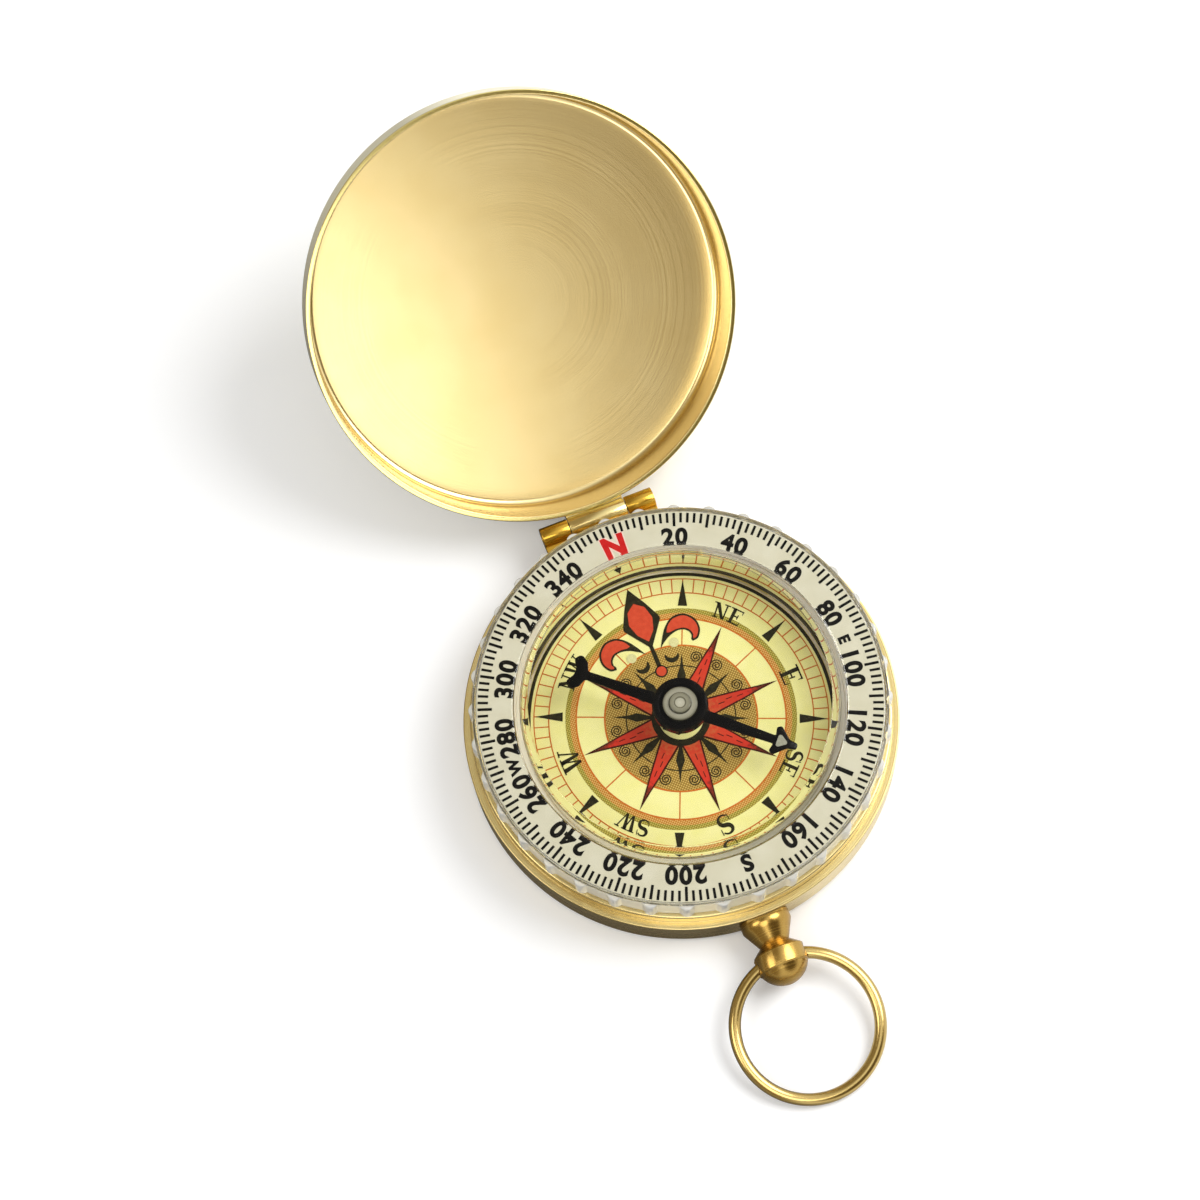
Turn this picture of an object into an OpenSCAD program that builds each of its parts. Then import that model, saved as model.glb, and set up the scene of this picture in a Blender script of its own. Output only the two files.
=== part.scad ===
// Folding brass pocket compass: a turned case with a hinged lid, a clear turning scale ring,
// a clear capsule with a printed dial and a pivoted needle, and a bow ring on a turned pendant.
// Origin: centre of the case's flat underside. +Z up, +Y towards the hinge, all sizes in millimetres.
// The lid stands open and the bow ring droops to the table, as the compass lies in use.

/* [Case] */
// Outside diameter of the case and of the lid
case_d = 50; // [46:1:60]
// Height of the lower wall, up to the shoulder that the lid closes on
shoulder_h = 5.2; // [4.8:0.1:6]
// Height of the neck that stands inside the closed lid
neck_h = 1.8; // [1.5:0.1:3]
// Thickness of the lower wall
case_wall = 2.4; // [2:0.1:3]
// Thickness of the case floor
floor_t = 1.2; // [0.8:0.1:1.6]
// Thickness of the felt pad between the floor and the capsule
pad_t = 1.7; // [1:0.1:2]
// Radius of the rounded edge under the case
foot_round = 0.8; // [0.3:0.1:1.2]

/* [Lid] */
// Sheet thickness of the lid
lid_wall = 0.6; // [0.4:0.1:0.9]
// Radius of the rounded edge between the lid's face and its side
lid_edge_r = 2.2; // [1.2:0.1:3]
// Rise of the lid's slightly domed face
lid_crown = 0.4; // [0.2:0.1:1.2]
// Free height between the crystal and the closed lid
lid_headroom = 0.8; // [0.7:0.1:2]
// Gap between the lid's inside and the neck
lid_gap = 0.3; // [0.25:0.05:0.5]

/* [Hinge] */
// Length of the whole hinge
hinge_len = 14; // [10:0.5:18]
// Length of each outer knuckle
knuckle_len = 3.4; // [2.4:0.1:4.4]
// Outside diameter of the knuckles
knuckle_d = 2.4; // [2:0.1:2.8]
// Diameter of the hinge pin
hinge_pin_d = 1.0; // [0.7:0.1:1.3]

/* [Turning scale ring] */
// Height of the clear ring
bezel_h = 3.7; // [3.4:0.1:4.6]
// Thickness of the clear plate over the printed scale
bezel_plate_t = 0.6; // [0.4:0.1:1]
// Thickness of the ring's outer wall
bezel_wall = 0.4; // [0.3:0.1:0.6]
// Number of grip lugs round the ring
lug_count = 36; // [24:1:48]
// How far each lug stands out
lug_out = 0.45; // [0.2:0.05:0.8]
// Width of each lug
lug_w = 1.5; // [1:0.1:2]
// Width of the printed scale
scale_w = 4.2; // [3.6:0.1:5]

/* [Capsule and dial] */
// Wall thickness of the capsule
capsule_wall = 0.9; // [0.6:0.1:1.4]
// Thickness of the crystal over the dial
crystal_t = 1.4; // [0.9:0.1:1.5]
// Height of the crystal's top above the turning ring
crystal_rise = 1.2; // [1:0.1:2]
// Width of the crystal's sloping edge
crystal_bevel_w = 1.6; // [0.4:0.1:2]
// Thickness of the printed dial card
card_t = 0.3; // [0.2:0.05:0.6]

/* [Needle] */
// Gap between the needle's point and the wall of the capsule
needle_gap = 3.9; // [1:0.1:6]
// How much shorter the tail is than the point
tail_short = 0.8; // [0:0.1:3]
// Gap between the needle's jewel and the crystal
jewel_gap = 0.55; // [0.4:0.05:1.2]
// Bearing that the needle's point shows on the dial, clockwise from the hinge
needle_bearing = 131.7; // [0:0.1:360]
// Thickness of the needle
needle_t = 0.3; // [0.2:0.05:0.5]
// Diameter of the black hub
hub_d = 6.4; // [5:0.1:8]

/* [Pendant and bow] */
// Diameter of the pendant's ball
ball_d = 6; // [5.2:0.1:6]
// Diameter of the pendant's collar
collar_d = 5.8; // [4.6:0.1:6]
// Outside diameter of the bow ring
bow_d = 17.7; // [14:0.1:24]
// Wire diameter of the bow ring
bow_wire_d = 1.4; // [1:0.1:1.8]

/* [Hidden] */

$fn = 96;
fine_fn = 180;
arc_steps = 12;
full_turn = 360;
quarter_turn = 90;

brass = "#CDAE55";
dark_brass = "#A8893C";
clear_plastic = "#E6EDE6";
ivory = "#D9D8BE";
card_yellow = "#EEEC96";
black = "#15140F";
lume = "#CFDCBC";
steel = "#8E9093";

cut = 1;          // overrun of every cutting tool past the face it cuts
fit_gap = 0.05;   // gap between pieces that are pressed or glued together
run_gap = 0.1;    // gap between pieces that turn on each other

case_r = case_d / 2;
neck_r = case_r - lid_wall - lid_gap;
cavity_r = case_r - case_wall;
neck_top = shoulder_h + neck_h;
neck_chamfer = 0.25;

bezel_bottom = neck_top + run_gap;
bezel_top = bezel_bottom + bezel_h;
lug_inset = 0.1;
lug_r = neck_r - lug_inset;
lug_drop = 0.35;
lug_round_r = (lug_w * lug_w / 4 + lug_out * lug_out) / (2 * lug_out);
bezel_r = lug_r - lug_out;
bezel_channel_r = bezel_r - bezel_wall;
bezel_round = 0.3;
bezel_lip = 0.15;
plate_bottom = bezel_top - bezel_plate_t;
retainer_t = 0.6;
retainer_top = bezel_bottom + retainer_t;
scale_t = 0.2;
scale_r = bezel_channel_r - fit_gap;
scale_bottom = plate_bottom - scale_t;
bezel_bore_r = scale_r - scale_w;

capsule_r = bezel_bore_r - run_gap;
pad_top = floor_t + pad_t;
seat_flange_t = 0.6;
seat_wall = 0.8;
seat_bore_r = capsule_r + fit_gap;
seat_wall_r = seat_bore_r + seat_wall;
seat_flange_r = cavity_r - fit_gap;

base_t = 0.8;
base_top = pad_top + base_t;
boss_r = 1.5;
boss_h = 1.6;
card_r = capsule_r - capsule_wall - run_gap;
card_top = base_top + card_t;
card_hole_r = boss_r + fit_gap;

crystal_top = bezel_top + crystal_rise;
crystal_flange_w = 1.0;
crystal_flange_t = 0.6;
crystal_flange_r = capsule_r + crystal_flange_w;
flange_bottom = retainer_top + run_gap;

seat_gap = 0.1;
lid_rim_z = shoulder_h + seat_gap;
lid_top = crystal_top + lid_headroom + lid_wall;

knuckle_r = knuckle_d / 2;
hinge_pin_r = hinge_pin_d / 2;
pin_gap = 0.05;
knuckle_side_gap = 0.1;
hinge_wall_gap = 0.05;
hinge_y = case_r + hinge_wall_gap + knuckle_r;
hinge_z = shoulder_h;
tongue_len = hinge_len - 2 * (knuckle_len + knuckle_side_gap);
leaf_t = 0.4;
leaf_foot_z = 1.2;
lid_leaf_h = 2.6;
tongue_nose = 0.95;
pin_recess = 0.2;

// The lid leans back until its rounded edge is just clear of the table.
lid_floor_gap = 0.25;
edge_back = hinge_y - case_r + lid_edge_r;

// Shape of a domed face of radius crown_radius whose edge is rounded and tangent to the side.
function crown_radius(r, rise) = (r * r + rise * rise) / (2 * rise);
function edge_centre_z(r, top, rise, edge) =
    top - crown_radius(r, rise)
    + sqrt(pow(crown_radius(r, rise) - edge, 2) - pow(r - edge, 2));

edge_up = edge_centre_z(case_r, lid_top, lid_crown, lid_edge_r) - hinge_z;
edge_reach = sqrt(edge_back * edge_back + edge_up * edge_up);
lid_open_deg = atan2(edge_back, edge_up)
    + acos((lid_edge_r + lid_floor_gap - hinge_z) / edge_reach);

needle_tip = capsule_r - capsule_wall - needle_gap;
needle_tail = needle_tip - tail_short;
hub_r = hub_d / 2;
hub_h = 1.45;
hub_bore_share = 0.64;
hub_bore_r = hub_bore_share * hub_r;
hub_lip = 0.35;
jewel_r = hub_bore_r - fit_gap;
jewel_rise = 0.4;
jewel_top = crystal_top - crystal_t - jewel_gap;
blade_top = jewel_top - jewel_rise - hub_h;
blade_bottom = blade_top - needle_t;
jewel_step_share = 0.62;
jewel_step_h = 0.35;
jewel_bore_r = 0.5;
pivot_r = 0.35;
pivot_point_h = 0.7;
pivot_gap = 0.08;
jewel_roof = 0.55;
pivot_tip_z = jewel_top - jewel_step_h - jewel_roof - pivot_gap;
lume_t = 0.08;

lume_dot_r = 0.58;
lume_dot_reach_share = 0.515;
lume_dot_bearing = 16.7;

ball_r = ball_d / 2;
collar_r = collar_d / 2;
pendant_clear = 0.2;
lid_swing_gap = 0.35;
pendant_z = ball_r + pendant_clear;
neck_pin_r = 1.75;
collar_rim = 0.9;
collar_cone = 2.2;
ball_cone = 0.9;
ball_band = 2.1;
ball_cap_h = 1.9;
ball_cap_step = 0.2;
ball_chamfer = 0.15;
stud_r = 1.0;
stud_short = 0.2;
collar_base = case_r + fit_gap;
ball_base = collar_base + collar_rim + collar_cone;
band_start = ball_base + ball_cone;
bow_axis_y = -(band_start + ball_band / 2);

bow_wire_r = bow_wire_d / 2;
bow_r = bow_d / 2 - bow_wire_r;
bow_sag = bow_r - sqrt(bow_r * bow_r - ball_r * ball_r);
bow_gap = 0.12;
bow_hole_r = bow_wire_r + bow_sag / 2 + bow_gap;
bow_offset = bow_r - bow_sag / 2;
bow_floor_gap = 0.05;
bow_droop_deg = asin((pendant_z - bow_wire_r - bow_floor_gap) / (bow_offset + bow_r));

// A round bar of radius r between two heights.
module disc(r, z0, z1, sides = fine_fn) {
    translate([0, 0, z0])
        cylinder(r = r, h = z1 - z0, $fn = sides);
}

// A round tube between two heights.
module tube(r_out, r_in, z0, z1, sides = fine_fn) {
    difference() {
        disc(r_out, z0, z1, sides);
        disc(r_in, z0 - cut, z1 + cut, sides);
    }
}

// A bar along X of radius r, centred on the given point of the YZ plane.
module cross_bar(r, length, y, z) {
    translate([0, y, z])
        rotate([0, quarter_turn, 0])
            cylinder(r = r, h = length, center = true);
}

// Turns children about the hinge line, from the closed place of the lid to the open one.
module lid_opened() {
    translate([0, hinge_y, hinge_z])
        rotate([-lid_open_deg, 0, 0])
            translate([0, -hinge_y, -hinge_z])
                children();
}

// Lays a profile of revolution along the pendant's line: its height runs outwards from the case's centre.
module along_pendant() {
    translate([0, 0, pendant_z])
        rotate([quarter_turn, 0, 0])
            children();
}

module case_body() {
    color(brass)
        difference() {
            rotate_extrude($fn = fine_fn)
                difference() {
                    union() {
                        translate([0, foot_round])
                            square([case_r, shoulder_h - foot_round]);
                        square([case_r - foot_round, shoulder_h]);
                        translate([case_r - foot_round, foot_round])
                            circle(r = foot_round);
                        square([neck_r, neck_top - neck_chamfer]);
                        square([neck_r - neck_chamfer, neck_top]);
                    }
                    translate([0, floor_t])
                        square([cavity_r, neck_top]);
                    translate([-case_d, -cut])
                        square([case_d, neck_top + 2 * cut]);
                }
            along_pendant()
                disc(stud_r + fit_gap, cavity_r - cut, case_r + cut, $fn);
        }
}

module backing_pad() {
    color(black)
        disc(seat_flange_r, floor_t, pad_top);
}

module seat_ring() {
    color(dark_brass) {
        tube(seat_flange_r, seat_bore_r, pad_top, pad_top + seat_flange_t);
        tube(seat_wall_r, seat_bore_r, pad_top, neck_top);
    }
}

module capsule_base() {
    color(ivory) {
        disc(capsule_r, pad_top, base_top);
        difference() {
            disc(boss_r, pad_top, base_top + boss_h);
            disc(pivot_r + fit_gap, base_top, base_top + boss_h + cut);
        }
    }
}

module pivot_pin() {
    color(steel) {
        disc(pivot_r, base_top, pivot_tip_z - pivot_point_h, $fn);
        translate([0, 0, pivot_tip_z - pivot_point_h])
            cylinder(r1 = pivot_r, r2 = fit_gap, h = pivot_point_h);
    }
}

module dial_card() {
    color(card_yellow)
        tube(card_r, card_hole_r, base_top, card_top);
}

module dial_lume_dots() {
    color(lume)
        for (side = [-1, 1])
            rotate([0, 0, side * lume_dot_bearing])
                translate([0, lume_dot_reach_share * card_r, 0])
                    disc(lume_dot_r, card_top, card_top + lume_t, $fn);
}

module capsule_crystal() {
    color(clear_plastic)
        rotate_extrude($fn = fine_fn)
            difference() {
                union() {
                    polygon([
                        [0, base_top],
                        [capsule_r, base_top],
                        [capsule_r, crystal_top - crystal_rise],
                        [capsule_r - crystal_bevel_w, crystal_top],
                        [0, crystal_top]
                    ]);
                    translate([0, flange_bottom])
                        square([crystal_flange_r, crystal_flange_t]);
                }
                translate([0, base_top - cut])
                    square([capsule_r - capsule_wall, crystal_top - crystal_t - base_top + cut]);
            }
}

// Needle outline, point towards +Y, as shares of the reach to the point and to the tail.
head_back_share = 0.805;
head_notch_share = 0.835;
head_half_w = 1.45;
blade_end_half_w = 0.38;
blade_root_half_w = 0.75;
fork_root_share = 0.845;
fork_side_share = 0.915;
fork_tip_share = 0.985;
fork_notch_share = 0.945;
fork_half_w = 1.85;
fork_side_half_w = 1.6;
fork_inner_half_w = 1.15;

module blade_outline() {
    polygon([
        [0, needle_tip],
        [head_half_w, head_back_share * needle_tip],
        [blade_end_half_w, head_notch_share * needle_tip],
        [blade_root_half_w, 0],
        [blade_end_half_w, -fork_root_share * needle_tail],
        [fork_side_half_w, -fork_side_share * needle_tail],
        [fork_half_w, -fork_tip_share * needle_tail],
        [fork_inner_half_w, -needle_tail],
        [0, -fork_notch_share * needle_tail],
        [-fork_inner_half_w, -needle_tail],
        [-fork_half_w, -fork_tip_share * needle_tail],
        [-fork_side_half_w, -fork_side_share * needle_tail],
        [-blade_end_half_w, -fork_root_share * needle_tail],
        [-blade_root_half_w, 0],
        [-blade_end_half_w, head_notch_share * needle_tip],
        [-head_half_w, head_back_share * needle_tip]
    ]);
}

// Turns children from +Y to the bearing that the needle shows.
module at_bearing() {
    rotate([0, 0, -needle_bearing])
        children();
}

module needle_blade() {
    color(black)
        at_bearing()
            difference() {
                union() {
                    translate([0, 0, blade_bottom])
                        linear_extrude(needle_t)
                            blade_outline();
                    disc(hub_r, blade_bottom, blade_top, $fn);
                }
                disc(hub_bore_r, blade_bottom - cut, blade_top + cut, $fn);
            }
}

module needle_hub() {
    color(black)
        difference() {
            disc(hub_r, blade_top, blade_top + hub_h, $fn);
            disc(hub_bore_r, blade_top - cut, blade_top + hub_h + cut, $fn);
            translate([0, 0, blade_top + hub_h - hub_lip])
                cylinder(r1 = hub_bore_r, r2 = hub_bore_r + hub_lip + cut, h = hub_lip + cut);
        }
}

module needle_jewel() {
    color(clear_plastic)
        difference() {
            union() {
                disc(jewel_r, blade_bottom, jewel_top - jewel_step_h, $fn);
                disc(jewel_step_share * jewel_r, blade_bottom, jewel_top, $fn);
            }
            disc(jewel_bore_r, blade_bottom - cut, pivot_tip_z + pivot_gap, $fn);
        }
}

lume_back_share = 0.833;
lume_front_share = 0.925;
lume_half_w = 0.8;

module needle_tip_lume() {
    color(lume)
        at_bearing()
            translate([0, 0, blade_top])
                linear_extrude(lume_t)
                    polygon([
                        [0, lume_front_share * needle_tip],
                        [lume_half_w, lume_back_share * needle_tip],
                        [-lume_half_w, lume_back_share * needle_tip]
                    ]);
}

module bezel_ring() {
    color(clear_plastic)
        difference() {
            union() {
                rotate_extrude($fn = fine_fn)
                    polygon([
                        [0, bezel_bottom],
                        [bezel_r, bezel_bottom],
                        [bezel_r, bezel_top - bezel_round],
                        [bezel_r - bezel_round, bezel_top],
                        [0, bezel_top]
                    ]);
                for (i = [0 : lug_count - 1])
                    rotate([0, 0, i * full_turn / lug_count])
                        translate([0, lug_r - lug_round_r, 0])
                            disc(lug_round_r, bezel_bottom, bezel_top - lug_drop, $fn);
            }
            disc(bezel_channel_r, bezel_bottom - cut, plate_bottom);
            disc(bezel_bore_r, bezel_bottom - cut, bezel_top + cut);
            translate([0, 0, bezel_top - bezel_lip])
                cylinder(r1 = bezel_bore_r, r2 = bezel_bore_r + bezel_lip + cut,
                    h = bezel_lip + cut, $fn = fine_fn);
        }
}

module bezel_scale() {
    color(ivory)
        rotate_extrude($fn = fine_fn)
            polygon([
                [bezel_bore_r, scale_bottom],
                [scale_r - scale_t, scale_bottom],
                [scale_r - scale_t, retainer_top],
                [scale_r, retainer_top],
                [scale_r, plate_bottom],
                [bezel_bore_r, plate_bottom]
            ]);
}

module bezel_retainer() {
    color(clear_plastic)
        tube(scale_r, bezel_bore_r, bezel_bottom, retainer_top);
}

// Outline of half a lid-shaped solid: flat below, round edge, domed face that meets the edge smoothly.
function domed_outline(r, bottom, top, rise, edge) =
    let (
        crown = crown_radius(r, rise),
        crown_z = top - crown,
        edge_z = edge_centre_z(r, top, rise, edge),
        meet = atan2(r - edge, edge_z - crown_z)
    )
    concat(
        [[0, bottom], [r, bottom]],
        [for (i = [0 : arc_steps])
            let (a = quarter_turn - (quarter_turn - meet) * i / arc_steps)
                [r - edge + edge * sin(a), edge_z + edge * cos(a)]],
        [for (i = [1 : arc_steps])
            let (a = meet - meet * i / arc_steps)
                [crown * sin(a), crown_z + crown * cos(a)]]
    );

module lid_shell() {
    color(brass)
        lid_opened()
            difference() {
                rotate_extrude($fn = fine_fn)
                    polygon(domed_outline(case_r, lid_rim_z, lid_top, lid_crown, lid_edge_r));
                rotate_extrude($fn = fine_fn)
                    polygon(domed_outline(case_r - lid_wall, lid_rim_z - cut, lid_top - lid_wall,
                        lid_crown, lid_edge_r - lid_wall));
            }
}

// A curved plate that lies on the outside of the case or the lid.
module leaf(length, z0, z1) {
    intersection() {
        tube(case_r + leaf_t, case_r, z0, z1);
        translate([-length / 2, 0, z0 - cut])
            cube([length, case_d, z1 - z0 + 2 * cut]);
    }
}

module lid_hinge_tongue() {
    color(brass)
        lid_opened()
            difference() {
                union() {
                    cross_bar(knuckle_r, tongue_len, hinge_y, hinge_z);
                    translate([-tongue_len / 2, cavity_r, lid_rim_z])
                        cube([tongue_len, hinge_y + tongue_nose - cavity_r, hinge_z + knuckle_r - lid_rim_z]);
                    leaf(tongue_len, lid_rim_z, lid_rim_z + lid_leaf_h);
                }
                disc(case_r, lid_rim_z - cut, lid_top);
                cross_bar(hinge_pin_r + pin_gap, hinge_len + cut, hinge_y, hinge_z);
            }
}

// An outer knuckle, its foot and its leaf on the case wall; side is -1 for left and 1 for right.
module case_knuckle(side) {
    middle = side * (hinge_len - knuckle_len) / 2;
    color(brass)
        difference() {
            union() {
                translate([middle, 0, 0]) {
                    cross_bar(knuckle_r, knuckle_len, hinge_y, hinge_z);
                    translate([-knuckle_len / 2, cavity_r, hinge_z - knuckle_r])
                        cube([knuckle_len, hinge_y - cavity_r, knuckle_r - seat_gap]);
                }
                intersection() {
                    tube(case_r + leaf_t, case_r, leaf_foot_z, shoulder_h - seat_gap);
                    translate([middle - knuckle_len / 2, 0, 0])
                        cube([knuckle_len, case_d, shoulder_h]);
                }
            }
            disc(case_r, -cut, lid_top);
            cross_bar(hinge_pin_r + pin_gap, hinge_len + cut, hinge_y, hinge_z);
        }
}

module hinge_knuckle_left() {
    case_knuckle(-1);
}

module hinge_knuckle_right() {
    case_knuckle(1);
}

module hinge_pin() {
    color(steel)
        cross_bar(hinge_pin_r, hinge_len - 2 * pin_recess, hinge_y, hinge_z);
}

module pendant_collar() {
    color(brass)
        difference() {
            along_pendant()
                difference() {
                    rotate_extrude()
                        polygon([
                            [0, collar_base - fit_gap - collar_rim],
                            [collar_r, collar_base - fit_gap - collar_rim],
                            [collar_r, collar_base + collar_rim],
                            [neck_pin_r, ball_base],
                            [0, ball_base]
                        ]);
                    disc(stud_r + fit_gap, 0, ball_base + cut, $fn);
                }
            disc(collar_base, -cut, lid_top);
            disc(case_r + lid_swing_gap, shoulder_h, lid_top);
        }
}

module pendant_ball() {
    color(brass)
        difference() {
            along_pendant() {
                rotate_extrude()
                    polygon([
                        [0, ball_base],
                        [neck_pin_r, ball_base],
                        [ball_r - ball_chamfer, band_start],
                        [ball_r, band_start + ball_chamfer],
                        [ball_r, band_start + ball_band - ball_chamfer],
                        [ball_r - ball_chamfer, band_start + ball_band],
                        [0, band_start + ball_band]
                    ]);
                disc(stud_r, cavity_r + stud_short, ball_base, $fn);
                ball_cap();
            }
            cross_bar(bow_hole_r, case_d, bow_axis_y, pendant_z);
        }
}

// The rounded end of the pendant: a cap of a sphere on the end of the band.
module ball_cap() {
    base_r = ball_r - ball_cap_step;
    cap_r = (base_r * base_r + ball_cap_h * ball_cap_h) / (2 * ball_cap_h);
    cap_base = band_start + ball_band;
    intersection() {
        translate([0, 0, cap_base + ball_cap_h - cap_r])
            sphere(r = cap_r);
        disc(ball_r, cap_base, cap_base + ball_cap_h + cut, $fn);
    }
}

module bow_ring() {
    color(brass)
        translate([0, bow_axis_y, pendant_z])
            rotate([bow_droop_deg, 0, 0])
                translate([0, -bow_offset, 0])
                    rotate_extrude($fn = fine_fn)
                        translate([bow_r, 0])
                            circle(r = bow_wire_r);
}

case_body();
backing_pad();
seat_ring();
capsule_base();
pivot_pin();
dial_card();
dial_lume_dots();
capsule_crystal();
needle_blade();
needle_hub();
needle_jewel();
needle_tip_lume();
bezel_ring();
bezel_scale();
bezel_retainer();
lid_shell();
lid_hinge_tongue();
hinge_knuckle_left();
hinge_knuckle_right();
hinge_pin();
pendant_collar();
pendant_ball();
bow_ring();
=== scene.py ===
import bpy
import numpy as np
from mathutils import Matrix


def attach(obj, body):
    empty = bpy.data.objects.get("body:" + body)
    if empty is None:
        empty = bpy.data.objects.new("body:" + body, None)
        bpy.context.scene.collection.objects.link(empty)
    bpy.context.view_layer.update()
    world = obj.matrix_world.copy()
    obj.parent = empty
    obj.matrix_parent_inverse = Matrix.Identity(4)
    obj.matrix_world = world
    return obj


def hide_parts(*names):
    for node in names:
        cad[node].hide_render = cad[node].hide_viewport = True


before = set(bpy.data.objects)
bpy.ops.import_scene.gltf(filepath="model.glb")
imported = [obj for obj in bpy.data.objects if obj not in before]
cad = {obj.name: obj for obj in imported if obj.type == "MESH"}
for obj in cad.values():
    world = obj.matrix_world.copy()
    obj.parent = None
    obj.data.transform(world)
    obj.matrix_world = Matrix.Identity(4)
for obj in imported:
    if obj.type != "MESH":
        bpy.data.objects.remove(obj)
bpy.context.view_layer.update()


# Case: a cup turned from brass bar. The lid lands on its shoulder, and the neck above stands inside
# the closed lid. Everything else is pressed or glued into it.

def linear(code):
    """sRGB hex to linear: ((c + 0.055) / 1.055) ** 2.4 above 0.04045, and c / 12.92 below."""
    c = np.array([int(code[i:i + 2], 16) for i in (1, 3, 5)]) / 255
    c = np.where(c > 0.04045, ((c + 0.055) / 1.055) ** 2.4, c / 12.92)
    return (*c.tolist(), 1.0)


def add(tree, kind, inputs=None, stops=(), **settings):
    """Adds a node with its settings; an input is a value or the output that feeds it.

    stops are the colour ramp's (place, hex colour) pairs: its first, its last, then any between.
    """
    node = tree.nodes.new(kind)
    for name, value in settings.items():
        setattr(node, name, value)
    for name, value in (inputs or {}).items():
        if isinstance(value, bpy.types.NodeSocket):
            tree.links.new(value, node.inputs[name])
        else:
            node.inputs[name].default_value = value
    for i, (place, colour) in enumerate(stops):
        ramp = node.color_ramp.elements
        stop = ramp[i] if i < 2 else ramp.new(place)
        stop.position = place
        stop.color = linear(colour)
    return node


def new_material(name):
    """An empty material, its node tree and the output that gives each point's place in metres."""
    made = bpy.data.materials.new(name)
    made.use_nodes = True
    made.node_tree.nodes.clear()
    place = add(made.node_tree, "ShaderNodeTexCoord")
    return made, made.node_tree, place.outputs["Object"]


def solid(name, *stacks):
    """One mesh from stacks of rings of points in mm, each of shape (..., rings, points, 3).

    Ring i joins ring i + 1 by quads. A stack whose last ring repeats its first closes into a loop,
    and any other is closed by a flat face on its first and its last ring.
    """
    points, faces, start = [], [], 0
    for stack in stacks:
        stack = stack.reshape(-1, *stack.shape[-3:])
        loop = np.allclose(stack[:, 0], stack[:, -1])
        stack = stack[:, :-1] if loop else stack
        count, rings, n = stack.shape[:3]
        index = start + np.arange(count * rings * n).reshape(count, rings, n)
        ahead = np.roll(index, -1, axis=1) if loop else index[:, 1:]
        here = index if loop else index[:, :-1]
        quads = np.stack([here, np.roll(here, -1, 2), np.roll(ahead, -1, 2), ahead], -1)
        faces += quads.reshape(-1, 4).tolist()
        if not loop:
            faces += index[:, 0, ::-1].tolist() + index[:, -1].tolist()
        points.append(stack.reshape(-1, 3))
        start += count * rings * n
    mesh = bpy.data.meshes.new(name)
    mesh.from_pydata(np.concatenate(points) / 1000, [], faces)
    # The volume's sign, from each face's normal and centre, tells which way the faces point.
    area, normal, centre = (np.empty(len(faces) * k) for k in (1, 3, 3))
    mesh.polygons.foreach_get("area", area)
    mesh.polygons.foreach_get("normal", normal)
    mesh.polygons.foreach_get("center", centre)
    if (area * (normal * centre).reshape(-1, 3).sum(1)).sum() < 0:
        mesh.flip_normals()
    mesh.shade_smooth()
    mesh.set_sharp_from_angle(angle=np.radians(35))
    made = bpy.data.objects.new(name, mesh)
    bpy.context.scene.collection.objects.link(made)
    return made


def rounded(corners, ends=False, steps=6):
    """Outline through (x, y, radius) corners, each turned into an arc tangent to its two sides.

    With d the way in, a the turn there and f the radius, the arc starts f tan(|a| / 2) before the
    corner, and a point further by u of the turn is at f / sign(a) (sin h, -cos h) from the centre,
    where h is the heading of d plus a u. A guard point on each side keeps flats flat in shading.
    With ends, the first and last corners stay as they are; otherwise the outline closes.
    """
    c = np.array(corners, float)
    xy, f = c[:, :2], c[:, 2:]
    way = np.roll(xy, -1, 0) - xy
    way /= np.linalg.norm(way, axis=1, keepdims=True)
    back = np.roll(way, 1, 0)
    turn = np.arctan2(back[:, :1] * way[:, 1:] - back[:, 1:] * way[:, :1],
                      (back * way).sum(1, keepdims=True))
    reach = f * np.tan(np.abs(turn) / 2)
    first = np.arctan2(back[:, 1:], back[:, :1])
    h = first + turn * np.linspace(0, 1, steps)
    bend = np.stack([np.sin(h) - np.sin(first), np.cos(first) - np.cos(h)], -1)
    arc = (xy - back * reach)[:, None] + bend * (f * np.sign(turn))[:, :, None]
    guard = (reach * 0.3)[:, None]
    whole = np.concatenate([arc[:, :1] - back[:, None] * guard, arc,
                            arc[:, -1:] + way[:, None] * guard], 1)
    if ends:
        return np.concatenate([xy[:1], whole[1:-1].reshape(-1, 2), xy[-1:]])
    whole = whole.reshape(-1, 2)
    return np.concatenate([whole, whole[:1]])


def turned(profile, segments=256):
    """Rings of a solid of revolution: (r cos t, r sin t, z) for each (r, z), t round one turn."""
    r, z = np.asarray(profile, float).T[:, :, None]
    t = np.arange(segments) * 2 * np.pi / segments
    return np.stack([r * np.cos(t), r * np.sin(t), z + 0 * t], -1)


def fit(piece, body, slot, finish, *nodes):
    """Gives a new piece its finish and body, and hides the CAD nodes that it stands for."""
    piece.data.materials.append(finish)
    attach(piece, body)
    if nodes:
        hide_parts(*nodes)
    return piece


def dress(finish, *nodes):
    """Gives CAD nodes that are shown as they are their finish."""
    for node in nodes:
        cad[node].data.materials.clear()
        cad[node].data.materials.append(finish)


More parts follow.
